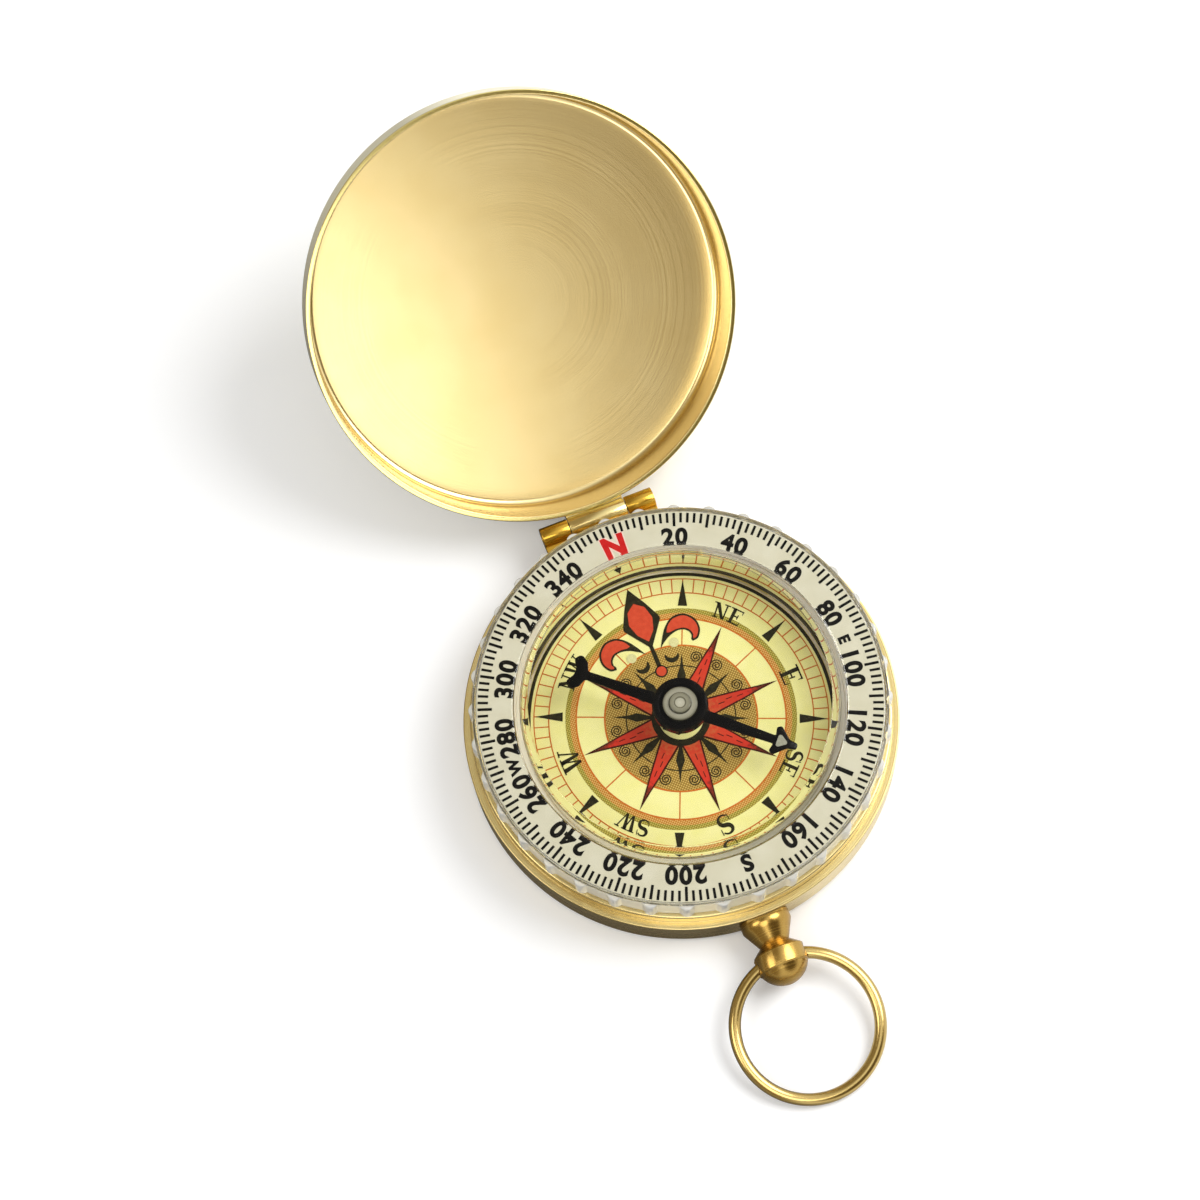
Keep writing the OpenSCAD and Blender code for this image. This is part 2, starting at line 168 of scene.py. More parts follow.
def lathe_brass(name, colour, shade, rough, pitch, centre=(0, 0, 0), tilt=0.0, depth=0.12,
                streak=0.3):
    """Brass with tool marks round an axis through centre (mm), tilted about X by tilt degrees.

    The marks are noise of (distance from the axis, height along it), so they run round the axis
    on walls and faces alike, pitch mm apart; depth is the strength of their relief, and streak the
    share by which they change the gloss.
    """
    made, tree, where = new_material(name)
    local = add(tree, "ShaderNodeMapping", {
        "Vector": where,
        "Location": [c / 1000 for c in centre],
        "Rotation": (np.radians(tilt), 0, 0),
    }, vector_type="TEXTURE")
    axes = add(tree, "ShaderNodeSeparateXYZ", {"Vector": local.outputs[0]})
    across = add(tree, "ShaderNodeCombineXYZ", {"X": axes.outputs["X"], "Y": axes.outputs["Y"]})
    radius = add(tree, "ShaderNodeVectorMath", {0: across.outputs[0]}, operation="LENGTH")
    along = add(tree, "ShaderNodeCombineXYZ", {
        "X": radius.outputs["Value"], "Y": axes.outputs["Z"]})
    marks = add(tree, "ShaderNodeTexNoise", {
        "Vector": along.outputs[0], "Scale": 1000 / pitch, "Detail": 3.0, "Roughness": 0.6})
    # Handling leaves soft clouds a few millimetres wide, slightly darker and duller.
    clouds = add(tree, "ShaderNodeTexNoise", {
        "Vector": where, "Scale": 1000 / 7, "Detail": 3.0, "Roughness": 0.5})
    tone = add(tree, "ShaderNodeMix", {
        0: clouds.outputs["Fac"], 6: linear(colour), 7: linear(shade)}, data_type="RGBA")
    dull = add(tree, "ShaderNodeMapRange", {
        "Value": marks.outputs["Fac"], "From Min": 0.3, "From Max": 0.7,
        "To Min": rough * (1 - streak), "To Max": rough * (1 + streak)})
    relief = add(tree, "ShaderNodeBump", {
        "Height": marks.outputs["Fac"], "Strength": depth, "Distance": 0.00003})
    metal = add(tree, "ShaderNodeBsdfPrincipled", {
        "Base Color": tone.outputs[2], "Metallic": 1.0,
        "Roughness": dull.outputs[0], "Normal": relief.outputs[0]})
    add(tree, "ShaderNodeOutputMaterial", {"Surface": metal.outputs[0]})
    return made


# Turned brass, left bright from the tool under a thin lacquer: broad, slightly streaked highlights.
case_brass = lathe_brass("brass turned and lacquered", "#DECB92", "#CFB97A", rough=0.26,
                         pitch=0.22, depth=0.07, streak=0.2)

CASE_R, NECK_R, BORE_R = 25.0, 24.1, 22.6
SHOULDER_Z, NECK_TOP, FLOOR_TOP = 5.2, 7.0, 1.2
AXIS_R = 0.05  # a solid disc starts this far from its axis, where a tiny flat face closes it

case = solid("case_turned", turned(rounded([
    (AXIS_R, 0, 0), (CASE_R, 0, 0.8), (CASE_R, SHOULDER_Z, 0.12), (NECK_R, SHOULDER_Z, 0.06),
    (NECK_R, NECK_TOP, 0.22), (BORE_R, NECK_TOP, 0.15), (BORE_R, FLOOR_TOP, 0.3),
    (AXIS_R, FLOOR_TOP, 0),
], ends=True)))
fit(case, "case", "turned_brass", case_brass, "case_body")


# Inside the case: a felt pad glued to the floor, and a thin brass ring pressed into the bore that
# holds the dial capsule in the middle. Both are die-cut or turned, and hardly show.

felt, tree, where = new_material("wool felt die-cut")
# Felt fibres are about 0.02 mm thick; they are drawn 0.15 mm wide so that the fuzz shows.
fibres = add(tree, "ShaderNodeTexNoise", {
    "Vector": where, "Scale": 1000 / 0.15, "Detail": 4.0, "Roughness": 0.7})
shade = add(tree, "ShaderNodeValToRGB", {"Fac": fibres.outputs["Fac"]},
            stops=[(0, "#14130F"), (1, "#37342C")])
fuzz = add(tree, "ShaderNodeBump", {
    "Height": fibres.outputs["Fac"], "Strength": 0.6, "Distance": 0.0001})
cloth = add(tree, "ShaderNodeBsdfPrincipled", {
    "Base Color": shade.outputs[0], "Roughness": 0.95, "Sheen Weight": 0.4,
    "Normal": fuzz.outputs[0]})
add(tree, "ShaderNodeOutputMaterial", {"Surface": cloth.outputs[0]})
dress(felt, "backing_pad")

# Brass without lacquer has darkened to a duller brown.
dress(lathe_brass("brass turned and left bare", "#C9A552", "#8E6F2E", rough=0.3, pitch=0.18),
      "seat_ring")


# Capsule base: a white ABS moulding with a boss in the middle that carries the pin and the card.
# The pin is turned steel with a ground point, pressed into the boss.

# ABS takes the fine grain of its mould: a soft, slightly broken gloss.
abs_white, tree, where = new_material("ABS moulded white")
grain = add(tree, "ShaderNodeTexNoise", {
    "Vector": where, "Scale": 1000 / 0.2, "Detail": 2.0})
tone = add(tree, "ShaderNodeValToRGB", {"Fac": grain.outputs["Fac"]},
           stops=[(0, "#ECEADC"), (1, "#F6F4E8")])
spark = add(tree, "ShaderNodeBump", {
    "Height": grain.outputs["Fac"], "Strength": 0.2, "Distance": 0.00002})
plastic = add(tree, "ShaderNodeBsdfPrincipled", {
    "Base Color": tone.outputs[0], "Roughness": 0.42, "IOR": 1.53, "Normal": spark.outputs[0]})
add(tree, "ShaderNodeOutputMaterial", {"Surface": plastic.outputs[0]})
dress(abs_white, "capsule_base")

# Grinding leaves short marks on the steel, which break its cold, tight highlight.
steel, tree, where = new_material("steel ground")
lines = add(tree, "ShaderNodeTexNoise", {
    "Vector": where, "Scale": 1000 / 0.12, "Detail": 2.0})
dull = add(tree, "ShaderNodeMapRange", {
    "Value": lines.outputs["Fac"], "To Min": 0.15, "To Max": 0.35})
metal = add(tree, "ShaderNodeBsdfPrincipled", {
    "Base Color": linear("#A8A9AB"), "Metallic": 1.0, "Roughness": dull.outputs[0]})
add(tree, "ShaderNodeOutputMaterial", {"Surface": metal.outputs[0]})
dress(steel, "pivot_pin")


# Dial card: stiff coated paper, printed in four colours and punched out, glued on the capsule base.
# The inks lie on it in layers a hundredth of a millimetre thick, with the rose pointing along +Y.

CARD_R, CARD_HOLE_R, CARD_LOW, CARD_TOP = 17.75, 1.6, 3.72, 4.0
INK = 0.012  # height of one layer of ink
COMPASS_POINTS = np.arange(8) * 45.0


def printed(name, colours, mottle=0.35, pitch=0.5, rough=0.5):
    """Flat ink or paint: noise moves it between two close colours, pitch mm apart, as uneven
    printing does; the lower mottle is, the harder the clouds' edges."""
    made, tree, where = new_material(name)
    blot = add(tree, "ShaderNodeTexNoise", {
        "Vector": where, "Scale": 1000 / pitch, "Detail": 3.0})
    tone = add(tree, "ShaderNodeValToRGB", {"Fac": blot.outputs["Fac"]},
               stops=[(0.5 - mottle / 2, colours[0]), (0.5 + mottle / 2, colours[1])])
    sheet = add(tree, "ShaderNodeBsdfPrincipled", {
        "Base Color": tone.outputs[0], "Roughness": rough, "Specular IOR Level": 0.04})
    add(tree, "ShaderNodeOutputMaterial", {"Surface": sheet.outputs[0]})
    return made


def screened(name, ground, dot, pitch, size):
    """Halftone: dots on a square screen at 45 degrees, pitch mm apart and size of that across."""
    made, tree, where = new_material(name)
    screen = add(tree, "ShaderNodeMapping", {
        "Vector": where, "Rotation": (0, 0, np.pi / 4)})
    cells = add(tree, "ShaderNodeTexVoronoi", {
        "Vector": screen.outputs[0], "Scale": 1000 / pitch, "Randomness": 0.0},
        voronoi_dimensions="2D")
    spot = add(tree, "ShaderNodeMapRange", {
        "Value": cells.outputs["Distance"], "From Min": size * 0.35, "From Max": size * 0.65,
        "To Min": 1.0, "To Max": 0.0}, interpolation_type="SMOOTHSTEP")
    tone = add(tree, "ShaderNodeMix", {
        0: spot.outputs[0], 6: linear(ground), 7: linear(dot)}, data_type="RGBA")
    sheet = add(tree, "ShaderNodeBsdfPrincipled", {
        "Base Color": tone.outputs[2], "Roughness": 0.5, "Specular IOR Level": 0.08})
    add(tree, "ShaderNodeOutputMaterial", {"Surface": sheet.outputs[0]})
    return made


def polar(xy, bearing=0.0, radius=0.0):
    """Bends flat work round the dial: x runs clockwise along the arc and y outwards from radius.

    Bearings are clockwise from +Y in degrees: (r sin b, r cos b), with r = radius + y and
    b = bearing + x / radius, or (x, y) turned by the bearing where radius is zero. A list of
    bearings gives one copy for each.
    """
    xy = np.asarray(xy, float)
    b = np.radians(np.reshape(bearing, (-1,) + (1,) * (xy.ndim - 1)))
    if radius:
        b = b + xy[..., 0] / radius
        return np.stack([(radius + xy[..., 1]) * np.sin(b), (radius + xy[..., 1]) * np.cos(b)], -1)
    x, y = xy[..., 0], xy[..., 1]
    return np.stack([x * np.cos(b) + y * np.sin(b), y * np.cos(b) - x * np.sin(b)], -1)


def ribbon(left, right, low, high):
    """Rings of a thin flat strip between two edge lines: four corners at each station."""
    left, right = np.broadcast_arrays(left, right)
    flat = np.stack([left, right, right, left], -2)
    height = np.broadcast_to(np.array([low, low, high, high])[:, None], flat[..., :1].shape)
    return np.concatenate([flat, height], -1)


def band(inner, outer, low, high, segments=240):
    """A flat printed ring between two radii: r (sin t, cos t) for t round one turn."""
    t = np.linspace(0, 2 * np.pi, segments + 1)
    circle = np.stack([np.sin(t), np.cos(t)], -1)
    return ribbon(inner * circle, outer * circle, low, high)


def stroke(centre, width, low, high):
    """A drawn line: its edges lie half its width to each side of the centre line."""
    run = np.gradient(centre, axis=-2)
    side = np.stack([-run[..., 1], run[..., 0]], -1)
    side /= np.linalg.norm(side, axis=-1, keepdims=True)
    half = side * np.reshape(width, (-1, 1)) / 2
    return ribbon(centre + half, centre - half, low, high)


def stamped(name, finish, *stacks):
    """One ink of the dial as a thin closed print on the card."""
    return fit(solid(name, *stacks), "case", "dial_print", finish)


def layer(n):
    """Lowest and highest height of the n-th ink on the card."""
    return CARD_TOP + n * INK, CARD_TOP + (n + 1) * INK


# Coated paper is smooth and hardly shines; its yellow ink lies on it a little unevenly.
card_paper = printed("coated paper printed yellow", ("#F5EF98", "#F9F3A8"), mottle=0.5, pitch=1.6)
card = solid("card_paper", turned(rounded([
    (CARD_HOLE_R, CARD_LOW, 0.02), (CARD_R, CARD_LOW, 0.05), (CARD_R, CARD_TOP, 0.03),
    (CARD_HOLE_R, CARD_TOP, 0.02),
])))
fit(card, "case", "dial_print", card_paper, "dial_card")

# Offset inks dry matt and flat, each in one even tone.
orange_line = printed("ink orange-brown", ("#C8641E", "#D47A30"))
olive = printed("ink dark olive", ("#221F10", "#322E18"))
brown = printed("ink red-brown", ("#3A160B", "#4C2210"))
red = printed("ink warm red", ("#CE482D", "#D85234"))

# Three halftones: the rose's ground, and the two halves of the ring outside its points. The real
# screens are about 0.1 mm fine, and are drawn as coarse as they need to show.
ROSE_R, BAND_LOW_R, BAND_MIDDLE_R, BAND_HIGH_R = 8.75, 12.05, 12.75, 13.3
for name, finish, ground, dot, pitch, size, inner, outer in (
        ("rose_ground", "halftone tan and brown", "#E2C36A", "#94702C", 0.26, 0.95, 3.3, ROSE_R),
        ("band_inner", "halftone orange", "#E8C470", "#BE7428", 0.24, 0.9,
         BAND_LOW_R, BAND_MIDDLE_R),
        ("band_outer", "halftone olive", "#D9CC66", "#8E7E2A", 0.24, 0.95,
         BAND_MIDDLE_R, BAND_HIGH_R)):
    stamped(name, screened(finish, ground, dot, pitch, size), band(inner, outer, *layer(0)))

# Rings and the eighty divisions of the tick ring, with eight spokes between the two halftones.
TICKS_LOW_R, TICK_LENGTH, SPOKE_LENGTH = 15.2, 1.7, 3.3
tick_bearings = np.arange(80) * 4.5
spoke_bearings = COMPASS_POINTS + 22.5
upright = np.array([[0.0, 0.0], [0.0, 1.0]])
ticks = polar(upright * TICK_LENGTH + [0, TICKS_LOW_R], tick_bearings)
spokes = polar(upright * SPOKE_LENGTH + [0, ROSE_R], spoke_bearings)
stamped("rings_orange", orange_line,
        stroke(ticks, 0.14, *layer(0)), stroke(spokes, 0.15, *layer(0)),
        band(15.14, 15.28, *layer(1)), band(16.86, 16.98, *layer(1)),
        band(8.67, 8.86, *layer(1)), band(11.96, 12.14, *layer(1)))

# Eight wedges on the tick ring, the small kites of the rose, its fine circle and the spirals.
wedge = np.array([[0.55, 13.6], [0.02, 16.7]])
wedges = ribbon(polar(wedge, spoke_bearings), polar(wedge * [-1, 1], spoke_bearings), *layer(2))
kite = np.array([[0.14, 3.3], [0.52, 5.1], [0.2, 6.1], [0.01, 7.8]])
kites = ribbon(polar(kite, spoke_bearings), polar(kite * [-1, 1], spoke_bearings), *layer(2))


def spiral(side):
    """A coil of 2.2 turns: for u from 0 to 1 its radius is 0.1 + 0.62 u mm at the angle
    13.8 u + 0.6 in radians, to the right for side 1 and to the left for side -1."""
    u = np.linspace(0, 1, 44)
    t = side * (13.8 * u + 0.6)
    r = 0.1 + 0.62 * u
    return np.stack([r * np.sin(t), r * np.cos(t)], -1)


SPIRAL_R, SPIRAL_LINE = 7.5, 0.13
spiral_bearings = np.array([35.0, 80.0, 125.0, 170.0, 215.0, 260.0, 305.0])
stamped("rose_dark", olive, wedges, kites, band(6.22, 6.36, *layer(1)), *(
    stroke(polar(spiral(side) + [0, SPIRAL_R], bearings), SPIRAL_LINE, *layer(2))
    for side, bearings in ((1, spiral_bearings), (-1, spiral_bearings + 20))))

# Seven long points of the rose: a dark outline, and inside it ink that runs from tan over red to
# olive at the tip. The eighth, at the top, gives way to the lily.
point_bearings = COMPASS_POINTS[1:]
point_edge = np.array([[1.2, 3.0], [0.62, 7.5], [0.3, 9.6], [0.01, 11.9]])
point_fill = np.array([[0.98, 3.0], [0.44, 7.5], [0.14, 9.5], [0.01, 10.4]])
stamped("points_edge", brown, ribbon(
    polar(point_edge, point_bearings), polar(point_edge * [-1, 1], point_bearings), *layer(3)))

point_ink, tree, where = new_material("ink blended tan to red")
far = add(tree, "ShaderNodeVectorMath", {0: where}, operation="LENGTH")
flecks = add(tree, "ShaderNodeTexNoise", {
    "Vector": where, "Scale": 1000 / 0.45, "Detail": 2.0})
mixed = add(tree, "ShaderNodeMath", {
    0: flecks.outputs["Fac"], 1: 0.0035, 2: far.outputs["Value"]}, operation="MULTIPLY_ADD")
blend = add(tree, "ShaderNodeMapRange", {
    "Value": mixed.outputs[0], "From Min": 0.0045, "From Max": 0.012})
tone = add(tree, "ShaderNodeValToRGB", {"Fac": blend.outputs[0]},
           stops=[(0, "#C98A4A"), (1, "#6E2A18"), (0.45, "#D8452A"), (0.86, "#D23424")])
sheet = add(tree, "ShaderNodeBsdfPrincipled", {
    "Base Color": tone.outputs[0], "Roughness": 0.5, "Specular IOR Level": 0.08})
add(tree, "ShaderNodeOutputMaterial", {"Surface": sheet.outputs[0]})
stamped("points_fill", point_ink, ribbon(
    polar(point_fill, point_bearings), polar(point_fill * [-1, 1], point_bearings), *layer(4)))

dash = np.array([[0.0, 0.0], [0.0, 0.75]])
stamped("points_dashes", brown, *(
    stroke(polar(dash + [x, y], point_bearings), 0.1, *layer(5))
    for x, y in ((0.1, 4.6), (-0.14, 5.6), (0.02, 6.9))))

# Lily at north: a diamond with bowed sides on a stem that ends in a ball, a horn to each side
# and two small moons below it.


def through(points, steps=8):
    """A smooth line through points: between p1 and p2, at u from 0 to 1, it is half of
    2 p1 + (p2 - p0) u + (2 p0 - 5 p1 + 4 p2 - p3) u^2 + (3 p1 - p0 - 3 p2 + p3) u^3."""
    p = np.asarray(points, float)
    p = np.concatenate([2 * p[:1] - p[1:2], p, 2 * p[-1:] - p[-2:-1]])[:, None]
    p0, p1, p2, p3 = p[:-3], p[1:-2], p[2:-1], p[3:]
    u = np.linspace(0, 1, steps, endpoint=False)[:, None]
    line = (2 * p1 + (p2 - p0) * u + (2 * p0 - 5 * p1 + 4 * p2 - p3) * u ** 2
            + (3 * p1 - p0 - 3 * p2 + p3) * u ** 3) / 2
    return np.concatenate([line.reshape(-1, 2), p[-2]])


def moon(reach, thick, sweep, start):
    """Middle line and width of a crescent: an arc of radius reach, thick sin(pi u) ** 0.8 wide."""
    u = np.linspace(0, 1, 25)
    t = np.radians(start + sweep * u)
    line = reach * np.stack([np.sin(t), np.cos(t)], -1)
    return line, thick * np.sin(np.pi * u) ** 0.8 + 0.02


def mirrored(stack):
    """A shape and its mirror image across the dial's north line."""
    return np.stack([stack, stack * [-1, 1, 1]])


diamond_edge = rounded([(0.01, 9.2, 0), (0.2, 9.3, 0.05), (2.35, 12.25, 0.6), (1.3, 14.5, 1.2),
                        (0.01, 16.8, 0)], ends=True)
diamond_fill = rounded([(0.01, 9.95, 0), (1.0, 11.1, 1.2), (1.45, 12.6, 0.6), (1.05, 14.1, 0.35),
                        (0.01, 14.9, 0)], ends=True)
stem = np.array([[0.26, 6.4], [0.22, 9.3]])
ball_place = np.array([0, 6.05])
u = np.linspace(0, np.pi, 17)
half_ball = np.stack([np.sin(u), np.cos(u)], -1)
horn_back = through([(0.95, 8.7), (1.6, 9.85), (2.4, 10.95), (3.55, 11.75), (4.95, 11.65),
                     (5.95, 10.6), (6.08, 9.3), (5.5, 8.3), (4.8, 8.12)])
horn_front = through([(0.97, 8.66), (1.45, 9.1), (2.35, 9.65), (3.35, 9.95), (4.2, 9.85),
                      (4.72, 9.4), (4.86, 8.85), (4.68, 8.45), (4.72, 8.14)])
red_back = through([(2.3, 10.25), (2.65, 10.85), (3.1, 11.25), (3.7, 11.53), (4.85, 11.43),
                    (5.73, 10.5), (5.86, 9.35), (5.4, 8.52), (4.98, 8.36)])
red_front = through([(2.32, 10.2), (2.6, 10.12), (3.0, 10.15), (3.45, 10.18), (4.35, 10.03),
                     (4.92, 9.5), (5.08, 8.9), (4.95, 8.6), (4.94, 8.38)])
moon_line, moon_width = moon(0.74, 0.55, 190, 98)
stamped("lily_dark", olive,
        ribbon(diamond_edge, diamond_edge * [-1, 1], *layer(3)),
        ribbon(stem, stem * [-1, 1], *layer(3)),
        ribbon(half_ball * 0.76 + ball_place, half_ball * [-0.76, 0.76] + ball_place, *layer(3)),
        mirrored(ribbon(horn_back, horn_front, *layer(3))),
        mirrored(stroke(moon_line + [1.85, 7.55], moon_width, *layer(3))))
stamped("lily_red", red,
        ribbon(diamond_fill, diamond_fill * [-1, 1], *layer(4)),
        ribbon(half_ball * 0.58 + ball_place, half_ball * [-0.58, 0.58] + ball_place, *layer(4)),
        mirrored(ribbon(red_back, red_front, *layer(4))))

# Capital letters with serifs, drawn as upright or slanted bars: each row is a bar's foot (x, y,
# width) and its head (x, y, width), in cap heights. The S is a curve that swells in its middle.
BARS = {
    "E": [(.14, 0, .2, .14, 1, .2), (.0, 0, .82, .0, .08, .82), (.0, .92, .78, .0, 1, .78),
          (.3, .47, .28, .3, .55, .28), (.52, .36, .07, .52, .66, .07),
          (.75, 0, .07, .8, .27, .03), (.74, .75, .03, .7, 1, .07)],
    "N": [(.15, 0, .09, .15, 1, .09), (.02, 0, .36, .02, .07, .36), (.73, 0, .09, .73, 1, .09),
          (.6, .93, .36, .6, 1, .36), (.61, 0, .21, .08, 1, .23), (.0, .93, .26, .0, 1, .26)],
    "W": [(.28, 0, .13, .06, 1, .22), (.34, 0, .08, .57, 1, .08), (.7, 0, .13, .46, 1, .22),
          (.76, 0, .08, 1.01, 1, .08), (.0, .93, .38, .0, 1, .38), (.4, .93, .36, .4, 1, .36),
          (.9, .93, .3, .9, 1, .3)],
    "S": [(.1, .0, .05, .05, .32, .04), (.63, .68, .04, .58, 1, .05)],
}
WIDTHS = {"E": 0.92, "N": 1.02, "W": 1.26, "S": 0.8}


def capital(letter, low, high):
    """Stacks of a letter one cap high, its left foot at the origin.

    An S is two arcs with points (x + a sin t, y + b cos t): t falls from 55 to -180 degrees on the
    upper one and then rises from -10 to 225 on the lower one.
    """
    bars = np.array(BARS[letter])
    left = np.stack([bars[:, :2], bars[:, 3:5]], 1)
    wide = np.stack([bars[:, 2], bars[:, 5]], 1)[..., None] * [1, 0]
    made = [ribbon(left, left + wide, low, high)]
    if letter == "S":
        u = np.linspace(0, 1, 41)
        t = np.radians(np.where(u <= 0.5, 55 - 470 * u, 470 * u - 245))
        upper = np.stack([0.35 + 0.25 * np.sin(t), 0.745 + 0.23 * np.cos(t)], -1)
        lower = np.stack([0.37 + 0.29 * np.sin(t), 0.255 + 0.26 * np.cos(t)], -1)
        line = np.where((u <= 0.5)[:, None], upper, lower)
        made.append(stroke(line, 0.08 + 0.14 * np.sin(np.pi * u) ** 2, low, high))
    return made


def word(text, cap, radius, bearing):
    """The stacks of a word, centred on its bearing with its tops outwards."""
    low, high = layer(2)
    advance = np.cumsum([0] + [WIDTHS[c] for c in text])
    made = []
    for letter, begin in zip(text, advance):
        for stack in capital(letter, low, high):
            flat = (stack[..., :2] + [begin - (advance[-1] - 0.1) / 2, -0.5]) * cap
            bent = polar(flat.reshape(-1, 2), bearing, radius).reshape(flat.shape)
            made.append(np.concatenate([bent, stack[..., 2:]], -1))
    return made


SMALL_CAP, LARGE_CAP = (1.9, 13.75), (2.3, 13.65)  # cap height and radius of its middle
stamped("card_letters", olive, *(
    stack for text, place, bearing in (
        ("NE", SMALL_CAP, 45), ("SE", SMALL_CAP, 135), ("SW", SMALL_CAP, 225),
        ("NW", SMALL_CAP, 315), ("E", LARGE_CAP, 90), ("S", LARGE_CAP, 180), ("W", LARGE_CAP, 270))
    for stack in word(text, *place, bearing)))

# A dark ring ends the points, round a plain yellow disc. Another dark ring along the card's edge is
# painted shade, where the gap beside the skirt falls dark.
stamped("centre_ring_and_edge_shade", olive, band(2.6, 3.4, *layer(5)), band(17.3, 17.7, *layer(1)))

# Lume paint is a thick, grainy paint that dries quite matt.
dress(printed("lume paint pale yellow", ("#D6D190", "#E6E0A4"), mottle=0.5, pitch=0.25, rough=0.7),
      "dial_lume_dots")


# Needle: a blade stamped from magnet steel and lacquered black, with a black hub ring pressed on
# and a clear cup in it that rides on the pin. Lume paint fills the head.

NEEDLE_BEARING = 131.7
BLADE_LOW, BLADE_TOP, LUME_TOP = 7.9, 8.2, 8.27
HUB_R, HUB_STEP_R, HUB_BORE_R, HUB_TOP = 3.2, 3.08, 2.05, 9.65


def plate(outline, low, high, edge):
    """Rings of a flat plate with rounded edges: the outline moved inwards by edge (1 - sin a) at
    heights edge (1 - cos a) from each face, for a from 0 to 90 degrees."""
    outline = outline[:-1] if np.allclose(outline[0], outline[-1]) else outline
    run = np.roll(outline, -1, 0) - np.roll(outline, 1, 0)
    run /= np.linalg.norm(run, axis=1, keepdims=True)
    inward = np.stack([-run[:, 1], run[:, 0]], -1)
    # The sign of its area, from the cross products of neighbours, tells which way it runs.
    x, y = outline.T
    inward = inward * np.sign((x * np.roll(y, -1) - y * np.roll(x, -1)).sum())
    a = np.radians([0, 30, 60, 90])
    inset = edge * (1 - np.sin(a))
    rise = edge * (1 - np.cos(a))
    inset = np.concatenate([inset, inset[::-1]])[:, None, None]
    height = np.concatenate([low + rise, high - rise[::-1]])
    flat = outline + inward * inset
    height = np.broadcast_to(height[:, None, None], flat[..., :1].shape)
    return np.concatenate([flat, height], -1)


def at_bearing(stack):
    """Turns a stack from +Y to the needle's bearing."""
    return np.concatenate([
        polar(stack[..., :2].reshape(-1, 2), NEEDLE_BEARING).reshape(stack[..., :2].shape),
        stack[..., 2:]], -1)


black, tree, where = new_material("steel lacquered gloss black")
# Sprayed lacquer keeps a faint orange peel, about 0.3 mm across.
peel = add(tree, "ShaderNodeTexNoise", {
    "Vector": where, "Scale": 1000 / 0.3, "Detail": 2.0})
skin = add(tree, "ShaderNodeBump", {
    "Height": peel.outputs["Fac"], "Strength": 0.12, "Distance": 0.00002})
dull = add(tree, "ShaderNodeMapRange", {
    "Value": peel.outputs["Fac"], "To Min": 0.12, "To Max": 0.26})
lacquer = add(tree, "ShaderNodeBsdfPrincipled", {
    "Base Color": linear("#050403"), "Roughness": dull.outputs[0], "Specular IOR Level": 0.15,
    "Normal": skin.outputs[0]})
add(tree, "ShaderNodeOutputMaterial", {"Surface": lacquer.outputs[0]})

right_side = [(0.38, 14.0, 0.34), (0.5, 13.0, 0.9), (1.78, 11.6, 0.3), (1.45, 11.1, 0.26),
              (0.5, 11.3, 0.14), (0.74, 2.2, 0.3), (3.1, 1.0, 0.1), (3.1, -1.0, 0.1),
              (0.74, -2.2, 0.3), (0.5, -11.35, 0.35), (1.5, -11.75, 0.3), (2.2, -12.7, 0.5),
              (1.45, -13.4, 0.5), (0.55, -12.85, 0.5)]
left_side = [(-x, y, r) for x, y, r in right_side[::-1]]
blade_outline = rounded(right_side + [(0, -12.7, 0.3)] + left_side)
blade = solid("needle_stamped", at_bearing(plate(blade_outline, BLADE_LOW, BLADE_TOP, 0.08)))
fit(blade, "needle", "needle_black", black, "needle_blade")

hub = solid("hub_turned", turned(rounded([
    (HUB_BORE_R, BLADE_TOP, 0.05), (HUB_R, BLADE_TOP, 0.08), (HUB_R, 9.2, 0.1),
    (HUB_STEP_R, 9.32, 0.06), (HUB_STEP_R, HUB_TOP, 0.14), (2.5, HUB_TOP, 0.12),
    (HUB_BORE_R, 9.25, 0.1),
]), 160))
fit(hub, "needle", "needle_black", black, "needle_hub")

lume_paint = printed("lume paint grey-green", ("#8F8E7C", "#A6A592"), mottle=0.5, pitch=0.25,
                     rough=0.7)
tip_lume = solid("lume_in_head", at_bearing(plate(rounded([
    (0, 13.0, 0.25), (0.95, 11.62, 0.25), (-0.95, 11.62, 0.25)]), BLADE_TOP, LUME_TOP, 0.03)))
fit(tip_lume, "needle", "lume", lume_paint, "needle_tip_lume")


